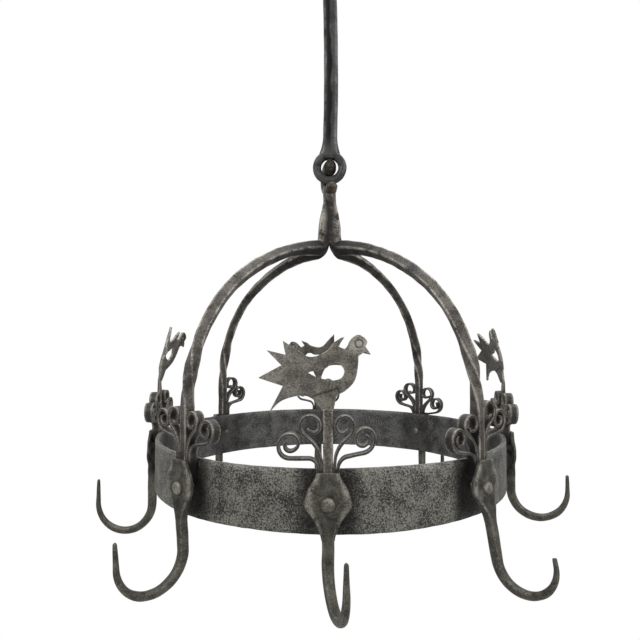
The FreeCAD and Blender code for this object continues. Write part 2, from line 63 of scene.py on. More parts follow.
# Sockets of a Mix node: its factor, its two numbers, its two colours, and what comes out of either pair.
FACTOR, NUMBER_A, NUMBER_B, COLOR_A, COLOR_B = 0, 2, 3, 6, 7
MIXED_NUMBER, MIXED_COLOR = 0, 2
# Where a section's corner begins to be rubbed and how soon it is bare, as shares of its half sizes.
CORNER_FROM, CORNER_EDGE = 0.55, 0.3


def linear(code: str) -> tuple[float, float, float, float]:
    """Turns an sRGB hex colour to linear light.

    Args:
        code: Six hex digits with a leading hash.

    Returns:
        Linear red, green and blue, with full alpha.
    """
    parts = np.array([int(code[i:i + 2], 16) for i in (1, 3, 5)]) / 255
    low = parts / 12.92
    high = ((parts + 0.055) / 1.055) ** 2.4
    return (*np.where(parts <= 0.04045, low, high).tolist(), 1.0)


def add_node(tree: bpy.types.NodeTree, kind: str, links: dict[Any, Any] | None = None,
             **settings: Any) -> bpy.types.Node:
    """Adds a shader node with its settings and links.

    Args:
        tree: Node tree of the material.
        kind: Node type name.
        links: Input name or index to a socket, or to a constant for that input.
        settings: Attributes of the node itself.

    Returns:
        The new node.
    """
    node = tree.nodes.new(kind)
    for key, value in settings.items():
        setattr(node, key, value)
    for key, source in (links or {}).items():
        if isinstance(source, bpy.types.NodeSocket):
            tree.links.new(source, node.inputs[key])
        else:
            node.inputs[key].default_value = source
    return node


@dataclass(frozen=True)
class IronFinish:
    """Hand-forged wrought iron: scale-dark hollows, burnished ridges with painted highlight, soot with painted
    shade, specks of rust.
    """

    name: str
    hollow: str
    face: str
    ridge: str
    rust: str = "#5b4032"
    soot: str = "#1d1c1b"
    roughness: float = 0.48
    polish: float = 0.14
    metallic: float = 0.15
    specular: float = 0.3
    soot_and_shade_specular: float = 0.3
    mottle_mm: float = 14.0
    grain_mm: float = 1.3
    grain_share: float = 0.6
    softness: float = 0.1
    pit_mm: float = 1.6
    pit_level: float = 0.62
    pit_edge: float = 0.14
    pit_share: float = 0.75
    rust_mm: float = 6.0
    rust_level: float = 0.70
    rust_edge: float = 0.1
    bump_mm: float = 0.12
    bump_strength: float = 0.8

    def patterns(self, tree: bpy.types.NodeTree) -> dict[str, bpy.types.NodeSocket]:
        """Adds the cloudy patterns on Object coordinates, each scaled from a size in millimetres.

        Args:
            tree: Node tree of the material.

        Returns:
            What comes out of each pattern, by its name.
        """
        place = add_node(tree, "ShaderNodeTexCoord").outputs["Object"]
        clouds = {
            "mottle": (self.mottle_mm, 4.0, 0.6),
            "grain": (self.grain_mm, 3.0, 0.7),
            "pits": (self.pit_mm, 2.0, 0.5),
            "rust": (self.rust_mm, 5.0, 0.7),
        }
        found = {}
        for name, (size, detail, roughness) in clouds.items():
            cloud = add_node(tree, "ShaderNodeTexNoise", {
                "Vector": place, "Scale": 1 / (size * MM), "Detail": detail, "Roughness": roughness})
            found[name] = cloud.outputs["Fac"]
        return found

    def material(self) -> bpy.types.Material:
        """Makes the procedural material, once: coats of colour, each laid over the last by its own mask.

        Returns:
            Material whose patterns are sized in millimetres on Object coordinates.
        """
        if self.name in bpy.data.materials:
            return bpy.data.materials[self.name]
        made = bpy.data.materials.new(self.name)
        made.use_nodes = True
        tree = made.node_tree
        pattern = self.patterns(tree)
        wear = add_node(tree, "ShaderNodeAttribute", attribute_name="wear").outputs["Fac"]
        soot = add_node(tree, "ShaderNodeAttribute", attribute_name="soot").outputs["Fac"]
        blended = add_node(tree, "ShaderNodeMix", {
            FACTOR: self.grain_share, NUMBER_A: pattern["mottle"],
            NUMBER_B: pattern["grain"]}, data_type="FLOAT")
        spread = add_node(tree, "ShaderNodeMapRange", {
            "Value": blended.outputs[MIXED_NUMBER], "From Min": 0.5 - self.softness,
            "From Max": 0.5 + self.softness}, interpolation_type="SMOOTHSTEP").outputs["Result"]
        pits = add_node(tree, "ShaderNodeMapRange", {
            "Value": pattern["pits"], "From Min": self.pit_level,
            "From Max": self.pit_level + self.pit_edge}).outputs["Result"]
        darkened = add_node(tree, "ShaderNodeMath", {
            0: pits, 1: self.pit_share}, operation="MULTIPLY").outputs[0]
        rubbed_and_glint = add_node(tree, "ShaderNodeMath", {0: wear, 1: spread}, operation="MULTIPLY").outputs[0]
        rusted = add_node(tree, "ShaderNodeMapRange", {
            "Value": pattern["rust"], "From Min": self.rust_level,
            "From Max": self.rust_level + self.rust_edge}).outputs["Result"]
        # The soot coat lays soot and painted shade; the ridge coat lays wear and painted highlight.
        coats = ((spread, self.face), (darkened, self.hollow), (soot, self.soot), (rubbed_and_glint, self.ridge),
                 (rusted, self.rust))
        color = linear(self.hollow)
        for mask, tint in coats:
            coat = add_node(tree, "ShaderNodeMix", {
                FACTOR: mask, COLOR_A: color, COLOR_B: linear(tint)}, data_type="RGBA")
            color = coat.outputs[MIXED_COLOR]
        gloss = add_node(tree, "ShaderNodeMapRange", {
            "Value": rubbed_and_glint, "To Min": self.roughness, "To Max": self.roughness - self.polish})
        # Less specular where soot and painted shade lie, which deepens the painted shade.
        sheen = add_node(tree, "ShaderNodeMapRange", {
            "Value": soot, "To Min": self.specular, "To Max": self.specular * self.soot_and_shade_specular})
        relief = add_node(tree, "ShaderNodeMath", {0: pattern["grain"], 1: pits}, operation="SUBTRACT")
        bump = add_node(tree, "ShaderNodeBump", {
            "Height": relief.outputs[0], "Distance": self.bump_mm * MM, "Strength": self.bump_strength})
        shader = tree.nodes["Principled BSDF"]
        shader.inputs["Metallic"].default_value = self.metallic
        tree.links.new(color, shader.inputs["Base Color"])
        tree.links.new(gloss.outputs["Result"], shader.inputs["Roughness"])
        tree.links.new(sheen.outputs["Result"], shader.inputs["Specular IOR Level"])
        tree.links.new(bump.outputs["Normal"], shader.inputs["Normal"])
        return made


class Finish(Enum):
    """The crown's finishes, each wrought iron worked and worn in its own way."""

    # Waxed black bar: smooth scale, soft sheen.
    ROD = IronFinish("wrought_iron_forged_waxed", "#1f1f1f", "#434342", "#7f7d7a", soot="#131313",
                     grain_share=0.5, pit_level=0.60, rust_level=0.80, roughness=0.42)
    # Forge-welded stem: brown in the heat-scaled hollows, strands rubbed bright.
    NECK = IronFinish("wrought_iron_forge_welded", "#221d1a", "#4e463e", "#aaa49b", rust="#6a5038",
                      mottle_mm=9.0, grain_share=0.3, rust_mm=9.0, rust_level=0.58, roughness=0.38)
    # Drawn square bar: brown-black faces with ridges rubbed bright and patches of rust.
    ARM = IronFinish("wrought_iron_drawn_bar", "#2a2724", "#6b6760", "#a29d94", rust="#6d564a",
                     grain_share=0.4, softness=0.12, pit_level=0.55, rust_mm=8.0, rust_level=0.62,
                     bump_mm=0.2)
    # Rolled flat, hammered round: grey, thick with fine pits.
    BAND = IronFinish("wrought_iron_hammered_flat", "#201f1d", "#7b7a72", "#b4b3ab", mottle_mm=16.0,
                      grain_share=0.72, softness=0.08, pit_level=0.53, rust_level=0.78, bump_mm=0.2)
    # Inside of the flat: smoky grey scale, made darker as painted shade inside the hoop.
    BAND_INSIDE = IronFinish("wrought_iron_smoked_flat", "#262626", "#605f5d", "#83827f", mottle_mm=16.0,
                             softness=0.08, pit_level=0.55, rust_level=0.80)
    # Drawn round taper: olive grey, rubbed by use.
    HOOK = IronFinish("wrought_iron_drawn_taper", "#272622", "#58564c", "#8d8a81", mottle_mm=9.0,
                      grain_share=0.5, softness=0.13, pit_level=0.54, rust_mm=5.0, rust_level=0.64,
                      bump_mm=0.2)
    # Narrow strip: dark faces and bright sheared edges.
    SCROLL = IronFinish("wrought_iron_sheared_strip", "#2a2824", "#524f49", "#a39e94", softness=0.14)
    # Thin sheet, cut and chased: dull, pitted, dark in the cuts.
    BIRD = IronFinish("wrought_iron_cut_sheet", "#312e29", "#67635b", "#ada89f", rust="#6b5546",
                      grain_share=0.55, pit_level=0.55, rust_mm=12.0, rust_level=0.64)
    # Rivet heads: flat hammered tops, grey as the plate.
    RIVET = IronFinish("wrought_iron_upset_rivet", "#43413b", "#6d6960", "#8f8b81", grain_share=0.35)


def ramp(value: Array, start: float = 0.0, length: float = 1.0) -> Array:
    """Eases from 0 at start to 1 one length on: three squares less two cubes of the share."""
    share = np.clip((value - start) / length, 0, 1)
    return share * share * (3 - 2 * share)


def blend(first: Array | float, last: Array | float, share: Array) -> Array:
    """Runs from first to last as the share runs from 0 to 1."""
    return first + (last - first) * share


def blunted(left: Array, rounding: float, least: float = 0.04) -> Array:
    """Share of the full section near an end: the root of the rows left over the rows that round it off."""
    return np.sqrt(np.clip(left / rounding, least, 1))


def turns(count: int) -> Array:
    """Even angles round a full turn, in radians."""
    return 2 * np.pi * np.arange(count) / count


def line(start: Sequence[float], end: Sequence[float], count: int) -> Array:
    """Points on a straight from start up to, not including, end."""
    share = np.arange(count)[:, None] / count
    return blend(np.asarray(start), np.asarray(end), share)


def arc(center: Sequence[float], radius: float, first: float, last: float, count: int) -> Array:
    """Points on a circle from angle first up to, not including, last (radians)."""
    angle = first + (last - first) * np.arange(count) / count
    return np.stack([center[0] + radius * np.cos(angle), center[1] + radius * np.sin(angle)], axis=1)


def rounded(count: int, power: Array | float) -> Array:
    """Superellipse outline: each point where the powers of both coordinates add to one.

    Args:
        count: Points round the outline.
        power: Two for a circle, more for a squarer outline; one value or one per row.

    Returns:
        Array of (rows, count, 2) in units of the half sizes.
    """
    angle = 2 * np.pi * (np.arange(count) + 0.5) / count
    power = np.atleast_1d(np.asarray(power, float))[:, None]
    cos, sin = np.cos(angle)[None], np.sin(angle)[None]
    radius = (np.abs(cos) ** power + np.abs(sin) ** power) ** (-1 / power)
    return np.stack([radius * cos, radius * sin], axis=2)


@dataclass(frozen=True)
class Marks:
    """Even random unevenness, such as hammer marks: its depth, its grain and the seed of its waves."""

    depth: float
    grain: float
    seed: int = 0
    waves: int = 20

    def relief(self, points: Array, shift: int = 0) -> Array:
        """Depth times a sum of sine waves of random heading, each about one grain long.

        Args:
            points: Positions, with x, y and maybe z last.
            shift: Added to the seed, for pieces that differ.

        Returns:
            Values about plus or minus the depth, one for each position.
        """
        rng = np.random.default_rng(self.seed + shift)
        heading = rng.normal(size=(self.waves, 3))
        heading /= np.linalg.norm(heading, axis=1, keepdims=True)
        wave = heading * (2 * np.pi / self.grain * rng.uniform(0.5, 1.5, size=(self.waves, 1)))
        phase = rng.uniform(0, 2 * np.pi, self.waves)
        height = np.sin(points @ wave[:, :points.shape[-1]].T + phase).sum(axis=-1)
        return self.depth * (height / math.sqrt(self.waves))

    def dent(self, points: Array, shift: int = 0, wrap_rows: bool = False) -> Array:
        """Moves a tube's grid along its normals by the relief.

        Args:
            points: Grid of (rows, columns, 3) that closes round its columns.
            shift: Added to the seed, for pieces that differ.
            wrap_rows: True where the rows close too.

        Returns:
            The moved grid.
        """
        if wrap_rows:
            along = np.roll(points, -1, 0) - np.roll(points, 1, 0)
        else:
            along = np.gradient(points, axis=0)
        around = np.roll(points, -1, 1) - np.roll(points, 1, 1)
        normal = np.cross(along, around)
        normal /= np.linalg.norm(normal, axis=2, keepdims=True) + TINY
        return points + normal * self.relief(points, shift)[..., None]


@dataclass
class Mesh:
    """One or more closed surfaces: points, faces of four and three corners, wear with painted highlight and soot
    with painted shade by point.
    """

    points: Array
    quads: Array
    triangles: Array
    wear: Array
    soot: Array

    def __add__(self, other: "Mesh") -> "Mesh":
        """Puts two surfaces into one mesh."""
        shift = len(self.points)
        return Mesh(np.vstack([self.points, other.points]), np.vstack([self.quads, other.quads + shift]),
                    np.vstack([self.triangles, other.triangles + shift]),
                    np.concatenate([self.wear, other.wear]), np.concatenate([self.soot, other.soot]))

    def faces(self) -> list[list[int]]:
        """Corner numbers of every face, those with four corners first."""
        return self.quads.tolist() + self.triangles.tolist()

    def outward(self) -> "Mesh":
        """Turns the faces round where the enclosed volume, a sum of triple products, comes out negative.

        Returns:
            The mesh itself.
        """
        fans = np.vstack([self.quads[:, [0, 1, 2]], self.quads[:, [0, 2, 3]], self.triangles])
        corner = self.points[fans]
        volume = np.sum(corner[:, 0] * np.cross(corner[:, 1], corner[:, 2]))
        if volume < 0:
            self.quads = self.quads[:, ::-1]
            self.triangles = self.triangles[:, ::-1]
        return self


def grid_faces(rows: int, columns: int, wrap_rows: bool) -> Array:
    """Quads of a grid that closes round its columns.

    Args:
        rows: Rows of points.
        columns: Points in a row.
        wrap_rows: True where the last row joins the first.

    Returns:
        Array of four corner numbers per face.
    """
    row = np.arange(rows if wrap_rows else rows - 1)[:, None] * columns
    column = np.arange(columns)[None]
    ahead = (row + columns) % (rows * columns)
    beside = (column + 1) % columns
    corners = (row + column, row + beside, ahead + beside, ahead + column)
    return np.stack(np.broadcast_arrays(*corners), axis=-1).reshape(-1, 4)


def tube(points: Array, wear: Array, soot: Array | float = 0.0, wrap_rows: bool = False) -> Mesh:
    """Closes a grid of sections into a surface, with a fan at each open end.

    The middle of an open end is fully worn with painted highlight, and as dark with soot and painted shade as the
    first point of its row.

    Args:
        points: Grid of (rows, columns, 3), columns round the section.
        wear: Edge wear and painted highlight for each point.
        soot: Soot and painted shade for each point, for each row, or one value.
        wrap_rows: True for a ring.

    Returns:
        A closed mesh with its faces outwards.
    """
    rows, columns = points.shape[:2]
    flat = points.reshape(-1, 3)
    rub = np.broadcast_to(wear, (rows, columns)).reshape(-1)
    smoke = np.broadcast_to(soot, (rows, columns))
    quads = grid_faces(rows, columns, wrap_rows)
    if wrap_rows:
        return Mesh(flat, quads, np.empty((0, 3), int), rub, smoke.reshape(-1)).outward()
    column = np.arange(columns)
    beside = (column + 1) % columns
    last = (rows - 1) * columns
    near = np.full(columns, rows * columns)
    fans = np.vstack([np.stack([near, beside, column], axis=1),
                      np.stack([near + 1, last + column, last + beside], axis=1)])
    return Mesh(np.vstack([flat, points[0].mean(0), points[-1].mean(0)]), quads, fans,
                np.concatenate([rub, [1.0, 1.0]]),
                np.concatenate([smoke.reshape(-1), smoke[[0, -1], 0]])).outward()


def swept(path: Array, side: Array, across: Array | float, deep: Array | float, power: Array | float,
          turn: Array | float = 0.0, columns: int = 28, wrap_rows: bool = False) -> tuple[Array, Array]:
    """Carries a superellipse section along a path.

    A point is the path plus its share of the side direction and of the direction square to both
    the side and the path, after the section has turned about the path.

    Args:
        path: Points along the middle, (rows, 3).
        side: Unit side direction, one for all rows or one per row.
        across: Half size along the side, one per row or one value.
        deep: Half size square to the side.
        power: Squareness of the section.
        turn: Turn of the section about the path, in radians.
        columns: Points round the section.
        wrap_rows: True for a closed path.

    Returns:
        Grid of points and their edge wear with painted highlight, highest at the section's corners.
    """
    rows = len(path)
    ahead = np.roll(path, -1, 0) - np.roll(path, 1, 0) if wrap_rows else np.gradient(path, axis=0)
    ahead /= np.linalg.norm(ahead, axis=1, keepdims=True)
    side = np.broadcast_to(side, (rows, 3))
    up = np.cross(ahead, side)
    up /= np.linalg.norm(up, axis=1, keepdims=True)
    outline = np.broadcast_to(rounded(columns, power), (rows, columns, 2))
    wide = outline[..., 0] * np.broadcast_to(across, rows)[:, None]
    tall = outline[..., 1] * np.broadcast_to(deep, rows)[:, None]
    cos = np.cos(np.broadcast_to(turn, rows))[:, None]
    sin = np.sin(np.broadcast_to(turn, rows))[:, None]
    points = (path[:, None] + (wide * cos - tall * sin)[..., None] * side[:, None]
              + (wide * sin + tall * cos)[..., None] * up[:, None])
    return points, ramp(np.abs(outline).min(axis=-1), CORNER_FROM, CORNER_EDGE)


@dataclass(frozen=True)
class Place:
    """Where one hook unit stands round the band."""

    name: str
    azimuth: float
    middle: float

    def world(self, radius: Array | float, aside: Array | float, rise: Array) -> Array:
        """Turns radius, sideways distance and height above the band's middle into the frame.

        Args:
            radius: Distance from the axis.
            aside: Distance sideways, anticlockwise from above.
            rise: Height above the middle of the band.

        Returns:
            Points with x, y, z last.
        """
        radius, aside, rise = np.broadcast_arrays(radius, aside, rise)
        cos, sin = math.cos(self.azimuth), math.sin(self.azimuth)
        x = radius * cos - aside * sin
        y = radius * sin + aside * cos
        return np.stack([x, y, rise + self.middle], axis=-1)

    def outward(self) -> Array:
        """Unit direction away from the axis."""
        return np.array([math.cos(self.azimuth), math.sin(self.azimuth), 0.0])

    def side(self) -> Array:
        """Unit direction sideways along the band."""
        return np.array([-math.sin(self.azimuth), math.cos(self.azimuth), 0.0])

    def seed(self) -> int:
        """A number of its own for each place."""
        return int(round(math.degrees(self.azimuth) % 360))


def show(name: str, mesh: Mesh, finish: Finish, body: str, node: str,
         second: Finish | None = None, second_faces: Array | None = None) -> None:
    """Puts a mesh into the scene as a piece that rides on a CAD body.

    Args:
        name: Name of the piece.
        mesh: Its surfaces.
        finish: Its finish.
        body: CAD body that it moves with.
        node: CAD node that it stands for.
        second: Another finish for some faces.
        second_faces: True for each face with the second finish.
    """
    data = bpy.data.meshes.new(name)
    data.from_pydata(mesh.points.tolist(), [], mesh.faces())
    data.polygons.foreach_set("use_smooth", np.ones(len(data.polygons), bool))
    for label, values in (("wear", mesh.wear), ("soot", mesh.soot)):
        layer = data.attributes.new(label, "FLOAT", "POINT")
        layer.data.foreach_set("value", values.astype(np.float32))
    data.materials.append(finish.value.material())
    if second is not None:
        data.materials.append(second.value.material())
        data.polygons.foreach_set("material_index", second_faces.astype(np.int32))
    data.update()
    piece = bpy.data.objects.new(name, data)
    bpy.context.scene.collection.objects.link(piece)
    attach(piece, body)
    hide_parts(node)
    LOG.info("%s: %d points, %d faces", name, len(data.vertices), len(data.polygons))


@dataclass
class SuspensionRod:
    """Chamfered bar whose lower end spreads into a drifted eye."""

    eye_middle: float
    across: float = 16.0 * MM
    bow: float = 1.6 * MM
    bar_power: float = 3.4
    bar_marks: Marks = Marks(0.12 * MM, 36.0 * MM, seed=3)
    bar_rub: float = 0.7
    flare_half: float = 14.4 * MM
    flare_low: float = 9.6 * MM
    flare_high: float = 36.0 * MM
    shoulder_share: float = 0.93
    shoulder_power: float = 2.4
    shade_from: float = -7.6 * MM
    shade_edge: float = 1.2 * MM
    shade_to: float = -1.0 * MM
    shade_fade: float = 2.5 * MM
    shade_marks: Marks = Marks(1.2 * MM, 26.0 * MM, seed=4)
    shoulder_light: float = 0.85
    shoulder_gain: float = 1.3
    eye_outside: float = 19.0 * MM
    eye_half: float = 4.7 * MM
    eye_depth: float = 5.6 * MM
    seat_depth: float = 4.6 * MM
    seat_power: float = 2.0
    seat_rise_share: float = 0.4
    eye_marks: Marks = Marks(0.1 * MM, 16.0 * MM, seed=5)
    eye_soot: float = 0.1
    hole_shade: float = 0.85
    hole_from: float = 0.1
    top_radius: float = 13.5 * MM
    top_half: float = 4.5 * MM
    top_power: float = 4.5

    def bar_mesh(self) -> Mesh:
        """Straight shank, a little bowed, whose width grows with a square law into the eye's shoulders.

        Its left face carries painted shade, between two uneven edges, fading towards the eye.

        Returns:
            The bar's surface.
        """
        rows = 140
        rise = np.linspace(-2 * self.top_half - self.eye_middle, self.flare_low, rows)
        path = np.zeros((rows, 3))
        path[:, 0] = self.bow * np.sin(np.pi * np.linspace(0, 1, rows))
        path[:, 2] = self.eye_middle + rise
        spread = np.clip((self.flare_high - rise) / (self.flare_high - self.flare_low), 0, 1)
        wide = blend(self.across / 2, self.flare_half, spread ** 2)
        deep = blend(self.across / 2, self.shoulder_share * self.eye_depth, ramp(spread))
        power = blend(self.bar_power, self.shoulder_power, spread)
        points, wear = swept(path, DEPTHWISE, deep, wide, power, columns=96)
        aside = points[..., 0] - path[:, :1] + self.shade_marks.relief(points)
        left = ramp(aside, self.shade_from, self.shade_edge)
        right = 1 - ramp(aside, self.shade_to, self.shade_fade)
        # Painted shade on the left face, fading into the eye's shoulders.
        shade = left * right * (1 - self.shoulder_light * ramp(self.shoulder_gain * spread))[:, None]
        mesh = tube(self.bar_marks.dent(points), self.bar_rub * wear, shade)
        # The middles of its two ends get no painted shade.
        mesh.soot[-2:] = 0
        return mesh

    def ring(self, angle: Array, radius: float, height: float) -> Array:
        """Circle in the plane of the eyes, about a point of the axis."""
        return np.stack([radius * np.cos(angle), 0 * angle, height + radius * np.sin(angle)], axis=1)

    def eye_mesh(self) -> Mesh:
        """Ring round the loop: deep and square at the shoulders, thin and round where the loop bears.

        Returns:
            The eye's surface, with painted shade in the hole.
        """
        angle = turns(120)
        middle = self.eye_outside - self.eye_half
        bearing = ramp(-np.sin(angle), -self.seat_rise_share, self.seat_rise_share)
        deep = blend(self.eye_depth, self.seat_depth, bearing)
        power = blend(self.shoulder_power, self.seat_power, bearing)
        path = self.ring(angle, middle, self.eye_middle)
        points, wear = swept(path, DEPTHWISE, deep, self.eye_half, power, wrap_rows=True)
        inward = middle - np.hypot(points[..., 0], points[..., 2] - self.eye_middle)
        # Painted shade deepens inwards, into the hole.
        soot = blend(self.eye_soot, self.hole_shade, ramp(inward / self.eye_half, self.hole_from))
        return tube(self.eye_marks.dent(points, wrap_rows=True), wear, soot, wrap_rows=True)

    def top_mesh(self) -> Mesh:
        """Drifted upper eye: a flat-sided ring round the bore.

        Returns:
            The upper eye's surface.
        """
        path = self.ring(turns(96), self.top_radius, 0.0)
        points, wear = swept(path, DEPTHWISE, self.top_half, self.top_half, self.top_power, wrap_rows=True)
        return tube(points, wear, wrap_rows=True)

    def build(self) -> None:
        """Shows the rod in place of its CAD node."""
        mesh = self.bar_mesh() + self.eye_mesh() + self.top_mesh()
        show("forged_rod", mesh, Finish.ROD, "rod", "suspension_rod")


@dataclass
class NeckLoop:
    """Open ring through the rod's eye: its tip ends in the hole, its foot in front of the neck."""

    middle: float
    axis: Array
    inside: float = 6.7 * MM
    tip_deep: float = 16.8 * MM
    foot_deep: float = 10.4 * MM
    tip_wide: float = 13.8 * MM
    foot_wide: float = 12.8 * MM
    tip_angle: float = math.radians(30.0)
    foot_angle: float = math.radians(75.0)
    grow_from: float = 0.35
    grow_length: float = 0.4
    power: float = 2.4
    rounding: float = 8.0
    marks: Marks = Marks(0.08 * MM, 12.0 * MM, seed=6)
    rub: float = 0.5
    foot_soot: float = 0.2
    tip_shade: float = 0.7

    def build(self) -> None:
        """Sweeps an oval bar about the loop's axis, thicker towards the tip, and shows it."""
        rows = 120
        share = np.linspace(0, 1, rows)
        angle = blend(-math.pi / 2 - self.foot_angle, math.pi / 2 + self.tip_angle, share)
        grown = ramp(share, self.grow_from, self.grow_length)
        deep = blend(self.foot_deep, self.tip_deep, grown)
        wide = blend(self.foot_wide, self.tip_wide, grown)
        reach = self.inside + deep / 2
        path = (reach * np.cos(angle))[:, None] * np.cross(UPWARDS, self.axis)
        path[:, 2] = self.middle + reach * np.sin(angle)
        blunt = blunted(np.minimum(share, 1 - share) * rows, self.rounding)
        points, wear = swept(path, self.axis, wide / 2 * blunt, deep / 2 * blunt, self.power)
        # Painted shade grows towards the tip, which lies in the eye's hole.
        soot = blend(self.foot_soot, self.tip_shade, grown)[:, None]
        mesh = tube(self.marks.dent(points), self.rub * wear * np.floor(blunt)[:, None], soot)
        # The middles of its two ends are dull.
        mesh.wear[-2:] = 0
        show("forged_loop", mesh, Finish.NECK, "loop", "neck_loop")


@dataclass
class Neck:
    """Stem where the bars are forge-welded into one and carried up to the loop."""

    middle: float
    top_rise: float = 298.0 * MM
    low_rise: float = 246.0 * MM
    top_half: float = 7.0 * MM
    low_half: float = 9.4 * MM
    crown_share: float = 0.05
    crown_least: float = 0.3
    lobes: int = 4
    lobe_depth: float = 0.12
    lobe_gain: float = 1.6
    marks: Marks = Marks(0.2 * MM, 14.0 * MM, seed=8)
    rub_from: float = 0.2
    rub_edge: float = 0.6
    soot: float = 0.95
    recess_shade_from: float = 0.2
    recess_shade_length: float = 0.3

    def build(self) -> None:
        """Lofts a round stem into a four-lobed bundle: radius times one plus lobes in the angle."""
        share = np.linspace(0, 1, 60)[:, None]
        angle = turns(64)[None]
        ridge = -np.cos(self.lobes * angle)
        half = blend(self.top_half, self.low_half, ramp(share))
        half = half * blunted(share, self.crown_share, self.crown_least)
        reach = half * (1 + self.lobe_depth * ramp(share * self.lobe_gain) * ridge)
        height = self.middle + blend(self.top_rise, self.low_rise, share)
        grid = np.broadcast_arrays(reach * np.cos(angle), reach * np.sin(angle), height)
        wear = ramp(ridge, self.rub_from, self.rub_edge) * share
        # Painted shade, deeper downwards, on the core recessed between the bars.
        soot = self.soot * ramp(share, self.recess_shade_from, self.recess_shade_length)
        mesh = tube(self.marks.dent(np.stack(grid, axis=2)), wear, soot)
        show("welded_neck", mesh, Finish.NECK, "crown", "neck")


@dataclass
class Arm:
    """Square bar that leaves the neck, arches down to the band and twists to its tang."""

    place: Place
    run_radius: float
    arch: float = 145.0 * MM
    arch_rise: float = 212.0 * MM
    crest: float = 220.0 * MM
    fall: float = math.radians(35.0)
    bend: float = 10.0 * MM
    offset: float = 9.6 * MM
    top_offset: float = 3.6 * MM
    top_rise: float = 290.0 * MM
    top_bar: float = 5.5 * MM
    neck_bar: float = 13.0 * MM
    bar: float = 9.9 * MM
    twist: float = math.radians(135.0)
    twist_start: float = 132.0 * MM
    twist_end: float = 58.0 * MM
    tang_width: float = 7.8 * MM
    tang_depth: float = 9.6 * MM
    foot_rise: float = 14.0 * MM
    power: float = 11.0
    upright_rows: int = 40
    bend_rows: int = 24
    crest_rows: int = 80
    arch_rows: int = 110
    tang_rows: int = 40
    top_rows: int = 28
    neck_rows: int = 60
    leaving_rows: int = 40
    freed_rows: int = 20
    twist_row: int = 100
    marks: Marks = Marks(0.2 * MM, 18.0 * MM)
    outer_from: float = 2.5 * MM
    outer_edge: float = 4.0 * MM
    outer_highlight: float = 0.85
    front_darkening: float = 0.15
    rear_shade: float = 0.45
    neck_shade_and_soot: float = 0.9
    neck_reach: float = 30.0 * MM
    neck_fade: float = 140.0 * MM
    tang_darkening: float = 0.6
    tang_rise: float = 20.0 * MM
    tang_fade: float = 70.0 * MM

    def path(self) -> Array:
        """Upright, bend, crest, arch and tang, each tangent to the next.

        Returns:
            Points as distance from the axis and height above the band's middle.
        """
        center = np.array([self.run_radius - self.arch, self.arch_rise - self.arch])
        top = center + (self.arch - self.crest) * np.array([math.sin(self.fall), math.cos(self.fall)])
        slope = math.asin((self.offset + self.bend - top[0]) / (self.crest + self.bend))
        hub = top + (self.crest + self.bend) * np.array([math.sin(slope), math.cos(slope)])
        return np.vstack([
            line((self.top_offset, self.top_rise), (self.offset, hub[1]), self.upright_rows),
            arc(hub, self.bend, math.pi, 1.5 * math.pi - slope, self.bend_rows),
            arc(top, self.crest, math.pi / 2 - slope, math.pi / 2 - self.fall, self.crest_rows),
            arc(center, self.arch, math.pi / 2 - self.fall, 0.0, self.arch_rows),
            line((self.run_radius, center[1]), (self.run_radius, self.foot_rise), self.tang_rows),
        ])

    def soot(self, flat: Array) -> Array:
        """Soot and painted shade along the bar: most at the neck, darker at the tang, and painted shade all over
        behind.

        Args:
            flat: Points of the path.

        Returns:
            One value for each point.
        """
        # The bars at the back get painted shade; those at the front an even darkening.
        even = self.rear_shade if self.place.outward()[1] > 0 else self.front_darkening
        neck = self.neck_shade_and_soot * (1 - ramp(flat[:, 0], self.neck_reach, self.neck_fade))
        tang = self.tang_darkening * (1 - ramp(flat[:, 1], self.tang_rise, self.tang_fade))
        return np.maximum(np.maximum(neck, even), tang)

    def build(self) -> None:
        """Sweeps a rounded square along the path, with painted highlight on its outer faces in the neck and worn
        corners past it.
        """
        flat = self.path()
        path = self.place.world(flat[:, 0], 0.0, flat[:, 1])
        index = np.arange(len(flat))
        fallen = np.clip((self.twist_start - flat[:, 1]) / (self.twist_start - self.twist_end), 0, 1)
        drawn = fallen * (index > self.twist_row)
        base = blend(self.neck_bar, self.bar, ramp(index, self.neck_rows, self.leaving_rows))
        base = base + (self.top_bar - self.neck_bar) * (1 - ramp(index, 0, self.top_rows))
        across = blend(base, self.tang_width, drawn) / 2
        deep = blend(base, self.tang_depth, drawn) / 2
        turn = self.twist * (1 - ramp(drawn))
        points, wear = swept(path, self.place.side(), across, deep, self.power, turn, columns=64)
        # Painted highlight on the outer faces of the bars in the neck.
        outer = ramp(points @ self.place.outward() - flat[:, :1], self.outer_from, self.outer_edge)
        freed = ramp(index, self.neck_rows, self.freed_rows)[:, None]
        wear = wear * freed + outer * blend(self.outer_highlight, 1.0, wear) * (1 - freed)
        mesh = tube(self.marks.dent(points, self.place.seed()), wear, self.soot(flat)[:, None])
        name = self.place.name
        show("drawn_arm_" + name, mesh, Finish.ARM, "crown", "arm_" + name)


